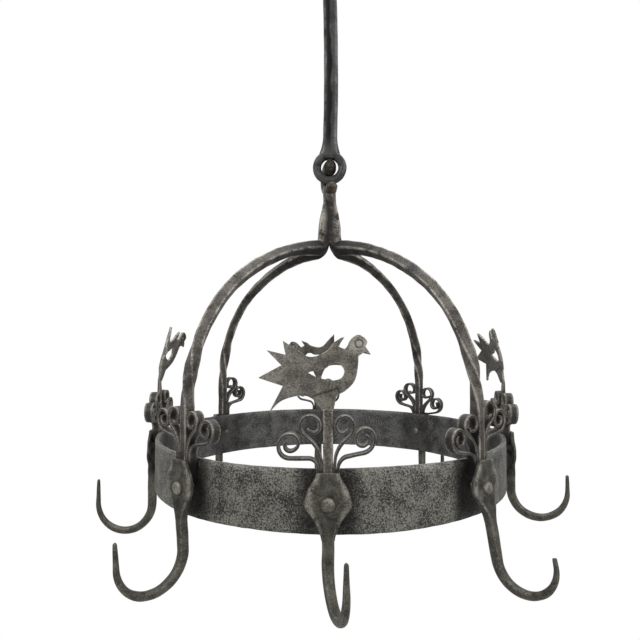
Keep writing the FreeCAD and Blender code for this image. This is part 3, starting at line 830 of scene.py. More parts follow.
@dataclass
class Band:
    """Hoop of flat bar, hammered and a little uneven."""

    radius: float
    height: float
    middle: float
    azimuths: Sequence[float]
    wall: float = 4.0 * MM
    power: float = 14.0
    waver: Marks = Marks(0.25 * MM, 90.0 * MM, seed=21)
    lean: Marks = Marks(0.4 * MM, 160.0 * MM, seed=22)
    marks: Marks = Marks(0.08 * MM, 14.0 * MM, seed=23)
    corner_from: float = 0.85
    corner_edge: float = 0.1
    inside_share: float = -0.5
    plate_half: float = 15.0 * MM
    shade_fade: float = 14.0 * MM
    outside_shadow: float = 0.8
    inside_shadow: float = 0.5

    def build(self) -> None:
        """Sweeps a rounded flat round the axis, its edges wavering, with painted shadow at the plates, and shows
        it.
        """
        rows = 480
        angle = turns(rows)
        cos, sin = np.cos(angle)[:, None], np.sin(angle)[:, None]
        outline = rounded(48, self.power)[0]
        edge = self.radius * np.hstack([cos, sin])
        reach = self.radius - self.wall / 2 + outline[:, 0] * self.wall / 2 + self.lean.relief(edge)[:, None]
        rise = outline[:, 1] * self.height / 2 + self.waver.relief(edge)[:, None] * outline[:, 1]
        points = np.stack([reach * cos, reach * sin, self.middle + rise], axis=2)
        wear = ramp(np.abs(outline).min(axis=1), self.corner_from, self.corner_edge)
        apart = np.abs(np.angle(np.exp(1j * (angle[:, None] - np.array(self.azimuths))))).min(axis=1)
        # Painted shadow on the band beside each plate, weaker on the inside.
        shade = 1 - ramp(apart * self.radius, self.plate_half, self.shade_fade)
        soot = shade[:, None] * np.where(outline[:, 0] > 0, self.outside_shadow, self.inside_shadow)
        mesh = tube(self.marks.dent(points, wrap_rows=True), wear, soot, wrap_rows=True)
        # The inside faces take the darker copy, as painted shade.
        inside = np.tile(outline[:, 0] < self.inside_share, rows)
        show("hammered_band", mesh, Finish.BAND, "crown", "band", Finish.BAND_INSIDE, inside)


@dataclass
class Hook:
    """J-hook in one forging: a shield plate drawn down to a shank, bend and point."""

    place: Place
    shank_radius: float
    drop: float
    tip: float
    turn: float = 0.0
    lean: float = 0.0
    bend: float = 28.5 * MM
    top_rise: float = 25.0 * MM
    rivet_rise: float = 2.0 * MM
    seat_share: float = 0.72
    shank: float = 9.4 * MM
    point: float = 3.1 * MM
    taper_start: float = 50.0 * MM
    taper_power: float = 1.9
    plate: float = 4.0 * MM
    plate_low: float = -23.0 * MM
    plate_rise: float = 17.0 * MM
    # Heights of the plate's outline and its half widths there, in millimetres.
    rise_stops: tuple[float, ...] = (25, 20, 15, 9, 3.5, -1, -5, -12, -18.5, -25)
    half_stops: tuple[float, ...] = (8.5, 11.0, 14.0, 16.6, 17.9, 17.2, 14.6, 9.6, 6.6, 4.8)
    round_power: float = 2.3
    plate_power: float = 5.0
    shank_rows: int = 70
    bend_rows: int = 90
    point_rows: int = 24
    turn_row: int = 50
    smooth_rows: int = 7
    rounding: float = 1.5
    marks: Marks = Marks(0.1 * MM, 16.0 * MM, seed=400)
    # Unevenness of the plate's half width and of its soot, as shares.
    edge_marks: Marks = Marks(0.05, 15.0 * MM, seed=420)
    patches: Marks = Marks(1.0, 8.0 * MM, seed=440)
    patch_soot: float = 0.45
    root_darkening: float = 0.55
    root_rise: float = -15.0 * MM
    root_spread: float = 10.0 * MM
    round_rub: float = 0.75

    def outline(self) -> Array:
        """Straight shank, half-round bend and straight point, before the hook leans or turns.

        Returns:
            Points as distance from the axis and height above the band's middle.
        """
        hub = (self.shank_radius + self.bend, -self.drop)
        far = hub[0] + self.bend
        return np.vstack([
            line((self.shank_radius, self.top_rise), (self.shank_radius, hub[1]), self.shank_rows),
            arc(hub, self.bend, math.pi, 2 * math.pi, self.bend_rows),
            line((far, hub[1]), (far, self.tip), self.point_rows),
            [(far, self.tip)],
        ])

    def set_out(self, flat: Array) -> tuple[Array, Array]:
        """Leans the outline out about its rivet and turns it aside about the shank.

        Args:
            flat: Points of the outline.

        Returns:
            The path in the frame, and the section's side direction at each of its points.
        """
        below = np.clip(self.rivet_rise - flat[:, 1], 0, None)
        out = flat[:, 0] - self.shank_radius
        reach = out * math.cos(self.lean) + below * math.sin(self.lean)
        level = flat[:, 1] + below * (1 - math.cos(self.lean)) + out * math.sin(self.lean)
        radius = self.shank_radius + reach * math.cos(self.turn)
        path = self.place.world(radius, reach * math.sin(self.turn), level)
        turned = self.turn * ramp(np.arange(len(flat)), self.turn_row, self.shank_rows - self.turn_row)
        side = np.cos(turned)[:, None] * self.place.side() - np.sin(turned)[:, None] * self.place.outward()
        return path, side

    def build(self) -> None:
        """Sweeps a section that runs from wide and flat to round and thin, and shows it."""
        flat = self.outline()
        path, side = self.set_out(flat)
        seed = self.place.seed()
        index = np.arange(len(flat))
        straight = index < self.shank_rows
        stops = np.array(self.rise_stops[::-1]) * MM
        rise = np.where(straight, flat[:, 1], stops[0])
        run = np.concatenate([[0], np.cumsum(np.linalg.norm(np.diff(flat, axis=0), axis=1))])
        taper = np.clip((run - self.taper_start) / (run[-1] - self.taper_start), 0, 1)
        round_half = blend(self.shank, self.point, taper ** self.taper_power) / 2
        wide = np.interp(rise, stops, np.array(self.half_stops[::-1]) * MM)
        mean = np.ones(self.smooth_rows) / self.smooth_rows
        smooth = np.convolve(np.pad(wide, self.smooth_rows // 2, mode="edge"), mean, mode="valid")
        flatten = ramp(rise, self.plate_low, self.plate_rise)
        across = np.where(rise > stops[0], smooth, round_half)
        across = np.where(straight, np.maximum(across, round_half * (1 - flatten)), round_half)
        across = across * (1 + flatten * self.edge_marks.relief(path, seed))
        deep = blend(round_half, self.plate / 2, flatten)
        blunt = blunted(len(flat) - 1 - index, self.rounding)
        power = blend(self.round_power, self.plate_power, flatten)
        points, wear = swept(path, side, across * blunt, deep * blunt, power, columns=40)
        # Darker on the straight about the lower plate, and in random patches on the plate.
        root = np.exp(-((flat[:, 1] - self.root_rise) / self.root_spread) ** 2) * straight
        patches = np.clip(self.patches.relief(points, seed), 0, 1) * flatten[:, None]
        soot = self.root_darkening * root[:, None] + self.patch_soot * patches
        rub = blend(self.round_rub, 1.0, flatten)[:, None]
        mesh = tube(self.marks.dent(points, seed), rub * wear, soot)
        name = self.place.name
        show("forged_hook_" + name, mesh, Finish.HOOK, "crown", "hook_" + name)


class Curl(Enum):
    """The two ribbon shapes, as (length, 0) straights and (radius, turn) arcs in millimetres and degrees."""

    INNER = ((18, 0), (24, -50), (5, 0), (10, 50), (7.5, 180), (5.2, 150))
    OUTER = ((15, 0), (9, -80), (14, 0), (11, 80), (7.8, 180), (5.4, 150), (4.0, 90))


@dataclass(frozen=True)
class Bent:
    """How a strip has been pushed out of shape: share of its reach, sag by distance, lift of its curl."""

    reach: float = 1.0
    sag: float = 0.0
    lift: float = 0.0


# Strips that stand differently from the rest.
BENT = {
    ("front", "b", Curl.OUTER): Bent(sag=0.17),
    ("front", "a", Curl.INNER): Bent(reach=0.9),
    ("front", "a", Curl.OUTER): Bent(reach=0.92, sag=-0.03),
    ("front_right", "a", Curl.INNER): Bent(lift=5.0 * MM),
    ("front_right", "a", Curl.OUTER): Bent(reach=0.95, lift=6.5 * MM),
    ("front_right", "b", Curl.INNER): Bent(lift=-4.5 * MM),
    ("front_right", "b", Curl.OUTER): Bent(lift=-4.5 * MM),
    ("front_left", "a", Curl.INNER): Bent(reach=0.8, lift=-2.0 * MM),
    ("front_left", "a", Curl.OUTER): Bent(lift=2.0 * MM),
    ("front_left", "b", Curl.INNER): Bent(reach=0.9),
    ("front_left", "b", Curl.OUTER): Bent(lift=7.0 * MM),
    ("rear_right", "a", Curl.INNER): Bent(lift=-3.0 * MM),
    ("rear_right", "a", Curl.OUTER): Bent(reach=0.9, lift=-3.5 * MM),
    ("rear_right", "b", Curl.INNER): Bent(reach=0.9, lift=-8.0 * MM),
    ("rear_right", "b", Curl.OUTER): Bent(reach=0.86, lift=-11.0 * MM),
    ("rear", "a", Curl.OUTER): Bent(reach=0.78),
    ("rear", "b", Curl.OUTER): Bent(reach=0.7, lift=-3.0 * MM),
    ("rear_left", "b", Curl.INNER): Bent(lift=6.0 * MM),
    ("rear_left", "b", Curl.OUTER): Bent(reach=0.9, lift=3.0 * MM),
}


@dataclass
class Scrolls:
    """Ribbon strips beside a stem, curled over at the top."""

    place: Place
    radius: float
    foot_rise: float = 12.0 * MM
    thickness: float = 2.4 * MM
    depth: float = 10.0 * MM
    narrowing: float = 1.0 * MM
    inner_offset: float = 5.2 * MM
    outer_offset: float = 7.7 * MM
    lift_rise: float = 20.0 * MM
    line_rows: int = 4
    arc_rows: int = 10
    arc_step: float = 5.0
    end_rows: int = 6
    end_share: float = 0.45
    power: float = 7.0
    lean: Marks = Marks(0.6 * MM, 60.0 * MM)
    marks: Marks = Marks(0.06 * MM, 10.0 * MM)
    shadow_rise: float = 20.0 * MM
    shadow_fade: float = 14.0 * MM
    # A stem is at the front where it faces the viewer by more than this share.
    facing_share: float = 0.2
    front_darkening: float = 0.4
    rear_shade: float = 0.55

    def strip(self, curl: Curl, offset: float, bent: Bent) -> Array:
        """Follows straights and arcs end to end, then pushes the strip out of shape.

        Args:
            curl: The ribbon's shape.
            offset: Distance of its foot from the stem's middle.
            bent: How far this strip has been pushed out of shape.

        Returns:
            Points as distance from the stem's middle and height above the band's middle.
        """
        spot = np.array([offset, self.foot_rise])
        heading = math.pi / 2
        parts = []
        for length, degrees in curl.value:
            size = length * MM
            ahead = np.array([math.cos(heading), math.sin(heading)])
            if degrees == 0:
                end = spot + size * ahead
                parts.append(line(spot, end, max(int(length), self.line_rows)))
            else:
                turn = math.radians(degrees)
                quarter = math.copysign(math.pi / 2, turn)
                hub = spot + math.copysign(size, turn) * np.array([-ahead[1], ahead[0]])
                first = heading - quarter
                last = first + turn
                rows = max(int(abs(degrees) / self.arc_step), self.arc_rows)
                parts.append(arc(hub, size, first, last, rows))
                heading += turn
                end = hub + size * np.array([math.cos(last), math.sin(last)])
            spot = end
        flat = np.vstack([*parts, spot])
        away = flat[:, 0] - offset
        lift = bent.lift * ramp(flat[:, 1], self.foot_rise, self.lift_rise)
        return np.stack([offset + away * bent.reach, flat[:, 1] - bent.sag * away + lift], axis=1)

    def ribbon(self, curl: Curl, offset: float, side: int, bent: Bent) -> Mesh:
        """Sweeps a thin flat section along a strip, with painted shadow and no wear at its foot, thinner at its
        end.

        Args:
            curl: The ribbon's shape.
            offset: Distance of its foot from the stem's middle.
            side: 1 or -1 for the two sides.
            bent: How far this strip has been pushed out of shape.

        Returns:
            The strip's surface.
        """
        flat = self.strip(curl, offset, bent)
        # The place, side and shape of a strip set its seed.
        seed = self.place.seed() * 4 + side + 2 * (curl is Curl.OUTER)
        path = self.place.world(self.radius + self.lean.relief(flat, seed), side * flat[:, 0], flat[:, 1])
        left = np.arange(len(flat))[::-1]
        thin = self.thickness / 2 * blend(self.end_share, 1.0, ramp(left, 0, self.end_rows))
        outward = self.place.outward()
        points, wear = swept(path, outward, (self.depth - self.narrowing) / 2, thin, self.power, columns=24)
        # Painted shadow at the foot between plate and band; painted shade all over on strips at the back.
        foot = 1 - ramp(flat[:, 1], self.shadow_rise, self.shadow_fade)[:, None]
        even = self.rear_shade if -outward[1] < self.facing_share else self.front_darkening
        return tube(self.marks.dent(points, seed), wear * (1 - foot), np.maximum(foot, even))

    def build(self) -> None:
        """Shows up to four strips in place of their CAD nodes."""
        for side, hand in ((1, "a"), (-1, "b")):
            for curl, offset in ((Curl.INNER, self.inner_offset), (Curl.OUTER, self.outer_offset)):
                node = "scroll_%s_%s_%s" % (curl.name.lower(), self.place.name, hand)
                if node not in frame["nodes"]:
                    continue
                bent = BENT.get((self.place.name, hand, curl), Bent())
                mesh = self.ribbon(curl, offset, side, bent)
                show("ribbon_" + node, mesh, Finish.SCROLL, "crown", node)


def through(stops: Stops, closed: bool = False, count: int = 8) -> Array:
    """Smooth curve through stops: cubic stretches whose slope at a stop is half its neighbours' difference.

    Args:
        stops: Points to pass through.
        closed: True where the last stop leads back to the first.
        count: Points in each stretch.

    Returns:
        Points up to, not including, the last stop.
    """
    knots = np.asarray(stops, float)
    if closed:
        ring = np.vstack([knots[-1:], knots, knots[:2]])
    else:
        ring = np.vstack([2 * knots[:1] - knots[1:2], knots, 2 * knots[-1:] - knots[-2:-1]])
    before, start, end, after = ring[:-3, None], ring[1:-2, None], ring[2:-1, None], ring[3:, None]
    step = (np.arange(count) / count)[None, :, None]
    curve = 0.5 * (2 * start + (end - before) * step + (2 * before - 5 * start + 4 * end - after) * step ** 2
                   + (3 * start - before - 3 * end + after) * step ** 3)
    return curve.reshape(-1, 2)


def enclosed(spots: Array, outline: Array) -> Array:
    """Tells which points lie within a closed outline: those that a level ray leaves an odd number of times.

    Args:
        spots: Points to test, (n, 2).
        outline: Corners of the outline, (m, 2).

    Returns:
        True for each point inside.
    """
    x, y = spots[:, 0:1], spots[:, 1:2]
    start_x, start_y = outline.T
    end_x, end_y = np.roll(outline, -1, 0).T
    spans = (start_y > y) != (end_y > y)
    slope = (end_x - start_x) / np.where(end_y == start_y, 1.0, end_y - start_y)
    right = x < start_x + (y - start_y) * slope
    return (spans & right).sum(axis=1) % 2 == 1


@dataclass
class Bird:
    """Sheet-iron bird with a pierced wing, an engraved eye and a chased breast line, on a leg."""

    place: Place
    radius: float
    facing: int
    top: float
    tilt: float = 0.0
    tail_curl: float = 0.0
    span: float = 86.0 * MM
    rise: float = 61.0 * MM
    sheet: float = 2.6 * MM
    rim_thinning: float = 0.3
    lean: float = math.radians(15.0)
    cell: float = 0.7 * MM
    edge_gap: float = 0.5
    merge: float = 1e-9
    groove: float = 0.55 * MM
    groove_width: float = 0.75 * MM
    groove_dirt_and_shade: float = 0.85
    head_glow: float = 9.0 * MM
    head_rub: float = 0.6
    ripple: Marks = Marks(0.5 * MM, 34.0 * MM)
    leg_width: float = 7.8 * MM
    leg_depth: float = 8.0 * MM
    leg_power: float = 6.0
    leg_overlap: float = 2.0 * MM
    leg_marks: Marks = Marks(0.15 * MM, 10.0 * MM, seed=60)
    foot_rise: float = 14.0 * MM
    eye_share: tuple[float, float] = (0.285, 0.88)
    eye_radius: float = 3.1 * MM
    smooth_shares: tuple[Stops, ...] = (
        ((0.045, 0.0), (0.06, 0.09), (0.08, 0.20), (0.16, 0.27), (0.24, 0.39), (0.27, 0.55), (0.28, 0.72)),
        ((0.345, 0.84), (0.36, 0.92), (0.285, 1.0), (0.21, 0.94), (0.16, 0.82), (0.10, 0.84)),
        ((0.04, 0.88), (0.0, 0.80), (-0.10, 0.72), (-0.19, 0.71), (-0.28, 0.79)),
        ((-0.53, -0.02), (-0.42, 0.13), (-0.25, 0.20), (-0.14, 0.16), (-0.045, 0.0)),
    )
    sharp_shares: tuple[Stops, ...] = (
        ((0.28, 0.72), (0.32, 0.76), (0.39, 0.735)),
        ((0.10, 0.84), (0.13, 0.97)),
        ((-0.28, 0.79), (-0.425, 0.92), (-0.395, 0.73), (-0.575, 0.79), (-0.43, 0.59), (-0.645, 0.42),
         (-0.41, 0.32)),
        ((-0.045, 0.0),),
    )
    window_shares: Stops = (
        (-0.18, 0.50), (-0.10, 0.53), (-0.02, 0.56), (0.03, 0.62), (0.085, 0.63), (0.135, 0.57),
        (0.145, 0.50), (0.12, 0.43), (0.06, 0.40), (-0.02, 0.41), (-0.10, 0.44),
    )
    chase_shares: Stops = ((-0.13, 0.195), (0.06, 0.276), (0.085, 0.30), (0.11, 0.21))

    def sized(self, shares: Stops | Array) -> Array:
        """Turns shares of the span and the rise into metres."""
        return np.asarray(shares) * np.array([self.span, self.rise])

    def tilted(self, flat: Array) -> Array:
        """Turns the outline head down about the top of the leg."""
        cos, sin = math.cos(self.tilt), math.sin(self.tilt)
        return np.stack([flat[:, 0] * cos + flat[:, 1] * sin, flat[:, 1] * cos - flat[:, 0] * sin], axis=1)

    def leg_rise(self) -> float:
        """Height of the top of the leg, found from the bird's highest point."""
        high = self.tilted(self.outline())[:, 1].max()
        return self.top - high * math.cos(self.lean) - self.sheet / 2 * math.sin(self.lean)

    def outline(self) -> Array:
        """Closed outline: smooth stretches joined by straight feather tips.

        Returns:
            Points in metres from the top of the leg.
        """
        parts = []
        for smooth, sharp in zip(self.smooth_shares, self.sharp_shares):
            parts += [through(smooth), np.array(sharp)]
        return self.sized(np.vstack(parts))

    def engraving(self, flat: Array) -> Array:
        """Depth of the engraving: bell-shaped grooves about the eye's circle and the chased lines.

        Args:
            flat: Points of the sheet.

        Returns:
            Depth at each point, as a share of a groove's.
        """
        gap = np.abs(np.linalg.norm(flat - self.sized(self.eye_share), axis=1) - self.eye_radius)
        stops = self.sized(self.chase_shares)
        for start, run in zip(stops, np.diff(stops, axis=0)):
            step = np.clip((flat - start) @ run / (run @ run), 0, 1)
            gap = np.minimum(gap, np.linalg.norm(flat - start - step[:, None] * run, axis=1))
        return np.exp(-(gap / self.groove_width) ** 2)

    def cut(self) -> tuple[Array, Array]:
        """Fills the outline, less its window, with even triangles.

        A grid of points one cell apart, clear of the edges, is joined with them by the fattest triangles.

        Returns:
            Points of the flat sheet, and three corner numbers per triangle.
        """
        rim = self.outline()
        hole = self.sized(through(self.window_shares, closed=True))
        edge = np.vstack([rim, hole])
        low, high = rim.min(0) + self.cell / 3, rim.max(0)
        grid = np.stack(np.meshgrid(np.arange(low[0], high[0], self.cell),
                                    np.arange(low[1], high[1], self.cell)), axis=-1).reshape(-1, 2)
        clear = np.linalg.norm(grid[:, None] - edge[None], axis=2).min(axis=1) > self.cell * self.edge_gap
        inputs = np.vstack([edge, grid[clear & enclosed(grid, rim) & ~enclosed(grid, hole)]])
        loops = (np.arange(len(rim)), len(rim) + np.arange(len(hole)))
        fence = np.vstack([np.stack([loop, np.roll(loop, -1)], axis=1) for loop in loops])
        result = delaunay_2d_cdt(inputs.tolist(), fence.tolist(), [], 0, self.merge)
        flat = np.array(result[0])
        faces = np.array(result[2])
        centers = flat[faces].mean(axis=1)
        return flat, faces[enclosed(centers, rim) & ~enclosed(centers, hole)]

    def sheet_mesh(self) -> Mesh:
        """Doubles the cut sheet to its thickness and walls it round, then tilts, leans and dishes it.

        A border edge is one that no neighbour runs the other way.

        Returns:
            The sheet's surface, leaning inwards above its leg.
        """
        flat, faces = self.cut()
        count = len(flat)
        edges = np.vstack([faces[:, [0, 1]], faces[:, [1, 2]], faces[:, [2, 0]]])
        start, end = edges[~np.isin(edges @ (1, count), edges @ (count, 1))].T
        walls = np.stack([end, start, start + count, end + count], axis=1)
        on_rim = np.zeros(count)
        on_rim[start] = 1.0
        cuts = self.engraving(flat) * (1 - on_rim)
        half = self.sheet / 2 * (1 - self.rim_thinning * on_rim) - cuts * self.groove
        ripple = self.ripple.relief(flat, self.place.seed())
        turned = self.tilted(flat)
        along, up = np.tile(turned.T, 2)
        proud = np.concatenate([ripple + half, ripple - half])
        cos, sin = math.cos(self.lean), math.sin(self.lean)
        dish = (1 + self.tail_curl * (along < 0)) * along ** 2 / (2 * self.radius)
        points = self.place.world(self.radius - up * sin + proud * cos - dish, along * self.facing,
                                  self.leg_rise() + up * cos + proud * sin)
        glow = np.exp(-(np.linalg.norm(flat - self.sized(self.eye_share), axis=1) / self.head_glow) ** 2)
        wear = np.maximum(on_rim, self.head_rub * glow) * (1 - cuts)
        # The engraved grooves are darkened with dirt and painted shade.
        return Mesh(points, walls, np.vstack([faces, faces[:, ::-1] + count]), np.tile(wear, 2),
                    np.tile(self.groove_dirt_and_shade * cuts, 2)).outward()

    def leg_mesh(self) -> Mesh:
        """Leg swept upwards from a thick foot to the thin sheet.

        Returns:
            The leg's surface.
        """
        share = np.linspace(0, 1, 40)
        rise = blend(self.foot_rise, self.leg_rise() + self.leg_overlap, share)
        path = self.place.world(self.radius, 0.0, rise)
        deep = blend(self.leg_depth, self.sheet, ramp(share)) / 2
        points, wear = swept(path, self.place.side(), self.leg_width / 2, deep, self.leg_power)
        return tube(self.leg_marks.dent(points, self.place.seed()), wear)

    def build(self) -> None:
        """Shows bird and leg in place of their CAD node."""
        mesh = self.sheet_mesh() + self.leg_mesh()
        name = self.place.name
        show("cut_bird_" + name, mesh, Finish.BIRD, "crown", "bird_" + name)


@dataclass
class Rivets:
    """Rivets through plate, foot and band: hammered domes outside, small ones inside."""

    places: Sequence[Place]
    inside: float
    outside: float
    rise: float = 2.0 * MM
    head: float = 5.6 * MM
    head_height: float = 2.8 * MM
    head_power: float = 0.45
    tail: float = 3.7 * MM
    tail_height: float = 2.0 * MM
    tail_power: float = 0.8
    shank: float = 3.0 * MM
    pole: float = 0.01
    top_rub: float = 0.8
    edge_rub: float = 0.2
    marks: Marks = Marks(0.1 * MM, 6.0 * MM, seed=7)

    def one(self, place: Place) -> Mesh:
        """Turns a profile about the rivet's axis: a flattened quarter round at each end of a shank.

        Args:
            place: Hook unit of the rivet.

        Returns:
            The rivet's surface.
        """
        quarter = np.linspace(self.pole, np.pi / 2, 16)
        back = quarter[::-1]
        head_reach = self.outside + self.head_height * np.cos(quarter)
        tail_reach = self.inside - self.tail_height * np.cos(back)
        head_half = self.head * np.sin(quarter) ** self.head_power
        tail_half = self.tail * np.sin(back) ** self.tail_power
        reach = np.concatenate([head_reach, [self.outside, self.inside], tail_reach])[:, None]
        half = np.concatenate([head_half, [self.shank, self.shank], tail_half])[:, None]
        angle = turns(32)
        points = place.world(reach, half * np.cos(angle), self.rise + half * np.sin(angle))
        wear = np.where(reach > self.outside + self.head_height / 2, self.top_rub, self.edge_rub)
        return tube(self.marks.dent(points, place.seed()), wear)

    def build(self) -> None:
        """Shows all the rivets in place of their CAD node."""
        whole = self.one(self.places[0])
        for place in self.places[1:]:
            whole = whole + self.one(place)
        show("upset_rivets", whole, Finish.RIVET, "crown", "plate_rivets")


@dataclass
class Studio:
    """Pale floor and backdrop, soft lamps, and a camera at the photograph's place."""

    middle: float
    camera_back: float = 0.6143
    camera_rise: float = 0.1258
    camera_yaw: float = 0.0177
    camera_pitch: float = 0.0343
    focal_pixels: float = 551.0
    image_pixels: float = 640.0
    sensor_width: float = 36.0
    floor_drop: float = 0.75
    floor_half: float = 8.0
    sky_light: float = 0.18
    aim_rise: float = 0.08

    def seen(self, tree: bpy.types.NodeTree, rays: Sequence[str]) -> bpy.types.NodeSocket:
        """Marks the named kinds of ray with one and all others with nought: the largest of their marks.

        Args:
            tree: Node tree of the floor's material or the world.
            rays: Names of the light path's marks.

        Returns:
            The mark.
        """
        path = add_node(tree, "ShaderNodeLightPath")
        mark = path.outputs[rays[0]]
        for ray in rays[1:]:
            larger = add_node(tree, "ShaderNodeMath", {0: mark, 1: path.outputs[ray]}, operation="MAXIMUM")
            mark = larger.outputs[0]
        return mark

    def sky(self) -> None:
        """White to the camera and in reflections, a fifth as bright as light on the object."""
        world = bpy.data.worlds.new("studio")
        bpy.context.scene.world = world
        world.use_nodes = True
        tree = world.node_tree
        mark = self.seen(tree, ("Is Camera Ray", "Is Transmission Ray", "Is Glossy Ray"))
        strength = add_node(tree, "ShaderNodeMapRange", {
            "Value": mark, "To Min": self.sky_light, "To Max": 1.0})
        back = tree.nodes["Background"]
        back.inputs["Color"].default_value = WHITE
        tree.links.new(strength.outputs["Result"], back.inputs["Strength"])

    def floor(self) -> None:
        """Lays a wide pale floor that shows white and keeps shadows dim."""
        half = self.floor_half
        level = self.middle - self.floor_drop
        corners = [(-half, -half, level), (half, -half, level), (half, half, level), (-half, half, level)]
        data = bpy.data.meshes.new("floor")
        data.from_pydata(corners, [], [(0, 1, 2, 3)])
        paper = bpy.data.materials.new("white_paper_sweep")
        paper.use_nodes = True
        tree = paper.node_tree
        shader = tree.nodes["Principled BSDF"]
        shader.inputs["Base Color"].default_value = linear("#e2e2e2")
        glow = add_node(tree, "ShaderNodeEmission", {"Color": WHITE, "Strength": 1.0})
        mark = self.seen(tree, ("Is Camera Ray", "Is Transmission Ray"))
        mix = add_node(tree, "ShaderNodeMixShader", {0: mark, 1: shader.outputs[0], 2: glow.outputs[0]})
        tree.links.new(mix.outputs[0], tree.nodes["Material Output"].inputs["Surface"])
        data.materials.append(paper)
        floor = bpy.data.objects.new("floor", data)
        bpy.context.scene.collection.objects.link(floor)

    def lamp(self, name: str, spot: tuple[float, float, float], size: float, power: float) -> None:
        """Hangs a square soft lamp that faces the crown.

        Args:
            name: Name of the lamp.
            spot: Its place, measured from the middle of the band.
            size: Width of the lamp.
            power: Watts.
        """
        light = bpy.data.lights.new(name, "AREA")
        light.shape = "SQUARE"
        light.size = size
        light.energy = power
        lamp = bpy.data.objects.new(name, light)
        bpy.context.scene.collection.objects.link(lamp)
        lamp.location = Vector(spot) + Vector((0, 0, self.middle))
        aim = Vector((0, 0, self.middle + self.aim_rise)) - lamp.location
        lamp.rotation_euler = aim.to_track_quat("-Z", "Y").to_euler()

    def camera(self) -> None:
        """Sets the camera: level with the arms, close, looking very slightly up."""
        data = bpy.data.cameras.new("camera")
        data.sensor_width = self.sensor_width
        data.lens = self.focal_pixels / self.image_pixels * self.sensor_width
        camera = bpy.data.objects.new("camera", data)
        bpy.context.scene.collection.objects.link(camera)
        camera.location = (0.0, -self.camera_back, self.middle + self.camera_rise)
        camera.rotation_euler = (math.pi / 2 + self.camera_pitch, 0.0, self.camera_yaw)
        bpy.context.scene.camera = camera

    def build(self) -> None:
        """Makes the stage, light and camera."""
        bpy.context.scene.view_settings.view_transform = "Standard"
        self.sky()
        self.floor()
        self.lamp("key", spot=(-1.0, -1.25, 1.0), size=0.8, power=22.0)
        self.lamp("fill", spot=(1.25, -1.05, 0.7), size=0.8, power=17.0)
        self.lamp("top", spot=(0.2, 0.4, 1.6), size=1.2, power=24.0)
        self.camera()


@dataclass(frozen=True)
class Unit:
    """One place on the band with the set of its hook."""

    place: Place
    turn: float
    lean: float
    bend: float
    drop: float


# Hooks knocked aside, and hooks whose shank leans out or in, in degrees.
HOOK_TURNS = {"front": 14.0, "front_right": 6.0, "right": -12.0, "front_left": -6.0}
HOOK_LEANS = {"front_right": 10.0, "front_left": -4.0}
# Hooks bent tighter or wider than the rest, in metres.
HOOK_BENDS = {"front": 26.0 * MM, "front_right": 24.0 * MM, "left": 30.0 * MM}
# How near its farthest reach a hook's point is looked for.
TIP_NEAR = 6.0 * MM
# Birds that hang head down, in degrees, and those that face clockwise seen from above.
BIRD_TILTS = {"rear": 15.0, "left": 10.0}
MIRRORED_BIRDS = ("right", "left")
# Tails bent inwards, as a share added to the sheet's own dish.
TAIL_CURLS = {"left": 1.2}


def units(middle: float, shank_radius: float) -> list[Unit]:
    """Reads where each hook unit stands from the record's hook seats.

    A seat lies off the shank by the reach of its bend, turned aside; the triangle of axis, shank and
    seat gives the reach, and the seat's height gives the drop of the bend.

    Args:
        middle: Height of the middle of the band.
        shank_radius: Distance of the hooks' shanks from the axis.

    Returns:
        The units in the record's order.
    """
    found = []
    for mount in frame["record"]["mounts"]:
        if not mount["name"].startswith("hook_seat_"):
            continue
        name = mount["name"].removeprefix("hook_seat_")
        turn = math.radians(HOOK_TURNS.get(name, 0.0))
        lean = math.radians(HOOK_LEANS.get(name, 0.0))
        x, y, z = mount["pos_m"]
        flat = math.hypot(x, y)
        reach = math.sqrt(flat ** 2 - (shank_radius * math.sin(turn)) ** 2) - shank_radius * math.cos(turn)
        aside = math.atan2(reach * math.sin(turn), shank_radius + reach * math.cos(turn))
        azimuth = math.atan2(y, x) - aside
        bend = HOOK_BENDS.get(name, Hook.bend)
        height = z - middle + bend - Hook.seat_share * Hook.shank / 2
        depth = (Hook.rivet_rise - height + bend * math.sin(lean)) / math.cos(lean)
        found.append(Unit(Place(name, azimuth, middle), turn, lean, bend, depth - Hook.rivet_rise))
    return found


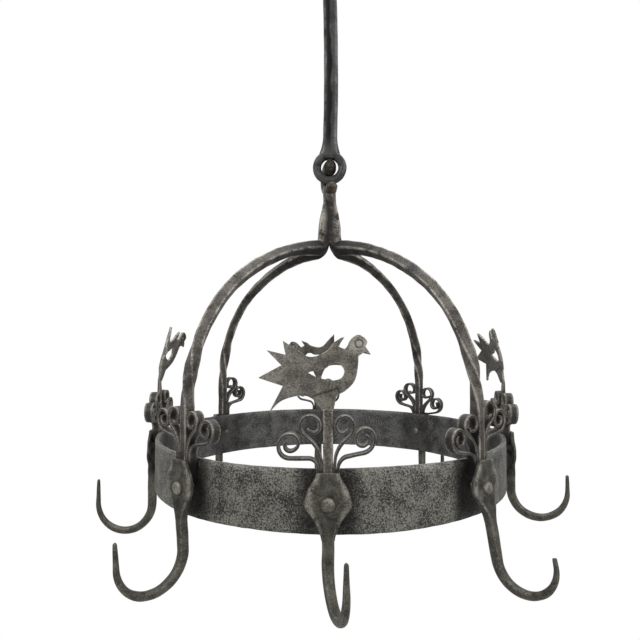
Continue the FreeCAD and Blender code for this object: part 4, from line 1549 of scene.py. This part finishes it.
def hook_tip(unit: Unit, radius: float) -> float:
    """Height of a hook's point before it leans, read from its CAD node.

    Args:
        unit: Hook unit.
        radius: Distance of the point from the axis.

    Returns:
        Height above the band's middle.
    """
    data = frame["nodes"]["hook_" + unit.place.name].data
    flat = np.empty(len(data.vertices) * 3, np.float32)
    data.vertices.foreach_get("co", flat)
    spots = flat.reshape(-1, 3)
    far = np.hypot(spots[:, 0], spots[:, 1]) > radius - TIP_NEAR
    high = float(spots[far, 2].max()) - unit.place.middle
    below = (Hook.rivet_rise - high + 2 * unit.bend * math.sin(unit.lean)) / math.cos(unit.lean)
    return Hook.rivet_rise - below


def main() -> None:
    """Builds every sub-assembly over its CAD nodes, then the studio."""
    logging.basicConfig(level=logging.INFO, format="%(message)s")
    low, high = (np.array(corner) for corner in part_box("band"))
    middle = float(low[2] + high[2]) / 2
    band_radius = float(high[0] - low[0]) / 2
    joints = {joint["name"]: joint for joint in frame["joints"]}
    SuspensionRod(eye_middle=joints["side_swing"]["pos_m"][2]).build()
    NeckLoop(joints["fore_swing"]["pos_m"][2], np.array(joints["fore_swing"]["axis"], float)).build()
    Neck(middle).build()
    stem_radius = band_radius + Scrolls.depth / 2
    plate_radius = band_radius + Scrolls.depth + Hook.plate / 2
    found = units(middle, plate_radius)
    spots = [unit.place for unit in found]
    Band(band_radius, float(high[2] - low[2]), middle, [spot.azimuth for spot in spots]).build()
    for unit in found:
        name = unit.place.name
        tip = hook_tip(unit, plate_radius + unit.bend * 2)
        Hook(unit.place, plate_radius, unit.drop, tip, unit.turn, unit.lean, unit.bend).build()
        Scrolls(unit.place, stem_radius).build()
        if "arm_" + name in frame["nodes"]:
            Arm(unit.place, stem_radius).build()
        else:
            facing = -1 if name in MIRRORED_BIRDS else 1
            _, bird_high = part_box("bird_" + name)
            tilt = math.radians(BIRD_TILTS.get(name, 0.0))
            curl = TAIL_CURLS.get(name, 0.0)
            Bird(unit.place, stem_radius, facing, bird_high[2] - middle, tilt, curl).build()
    Rivets(spots, band_radius - Band.wall, band_radius + Scrolls.depth + Hook.plate).build()
    Studio(middle).build()


if __name__ == "__main__":
    main()
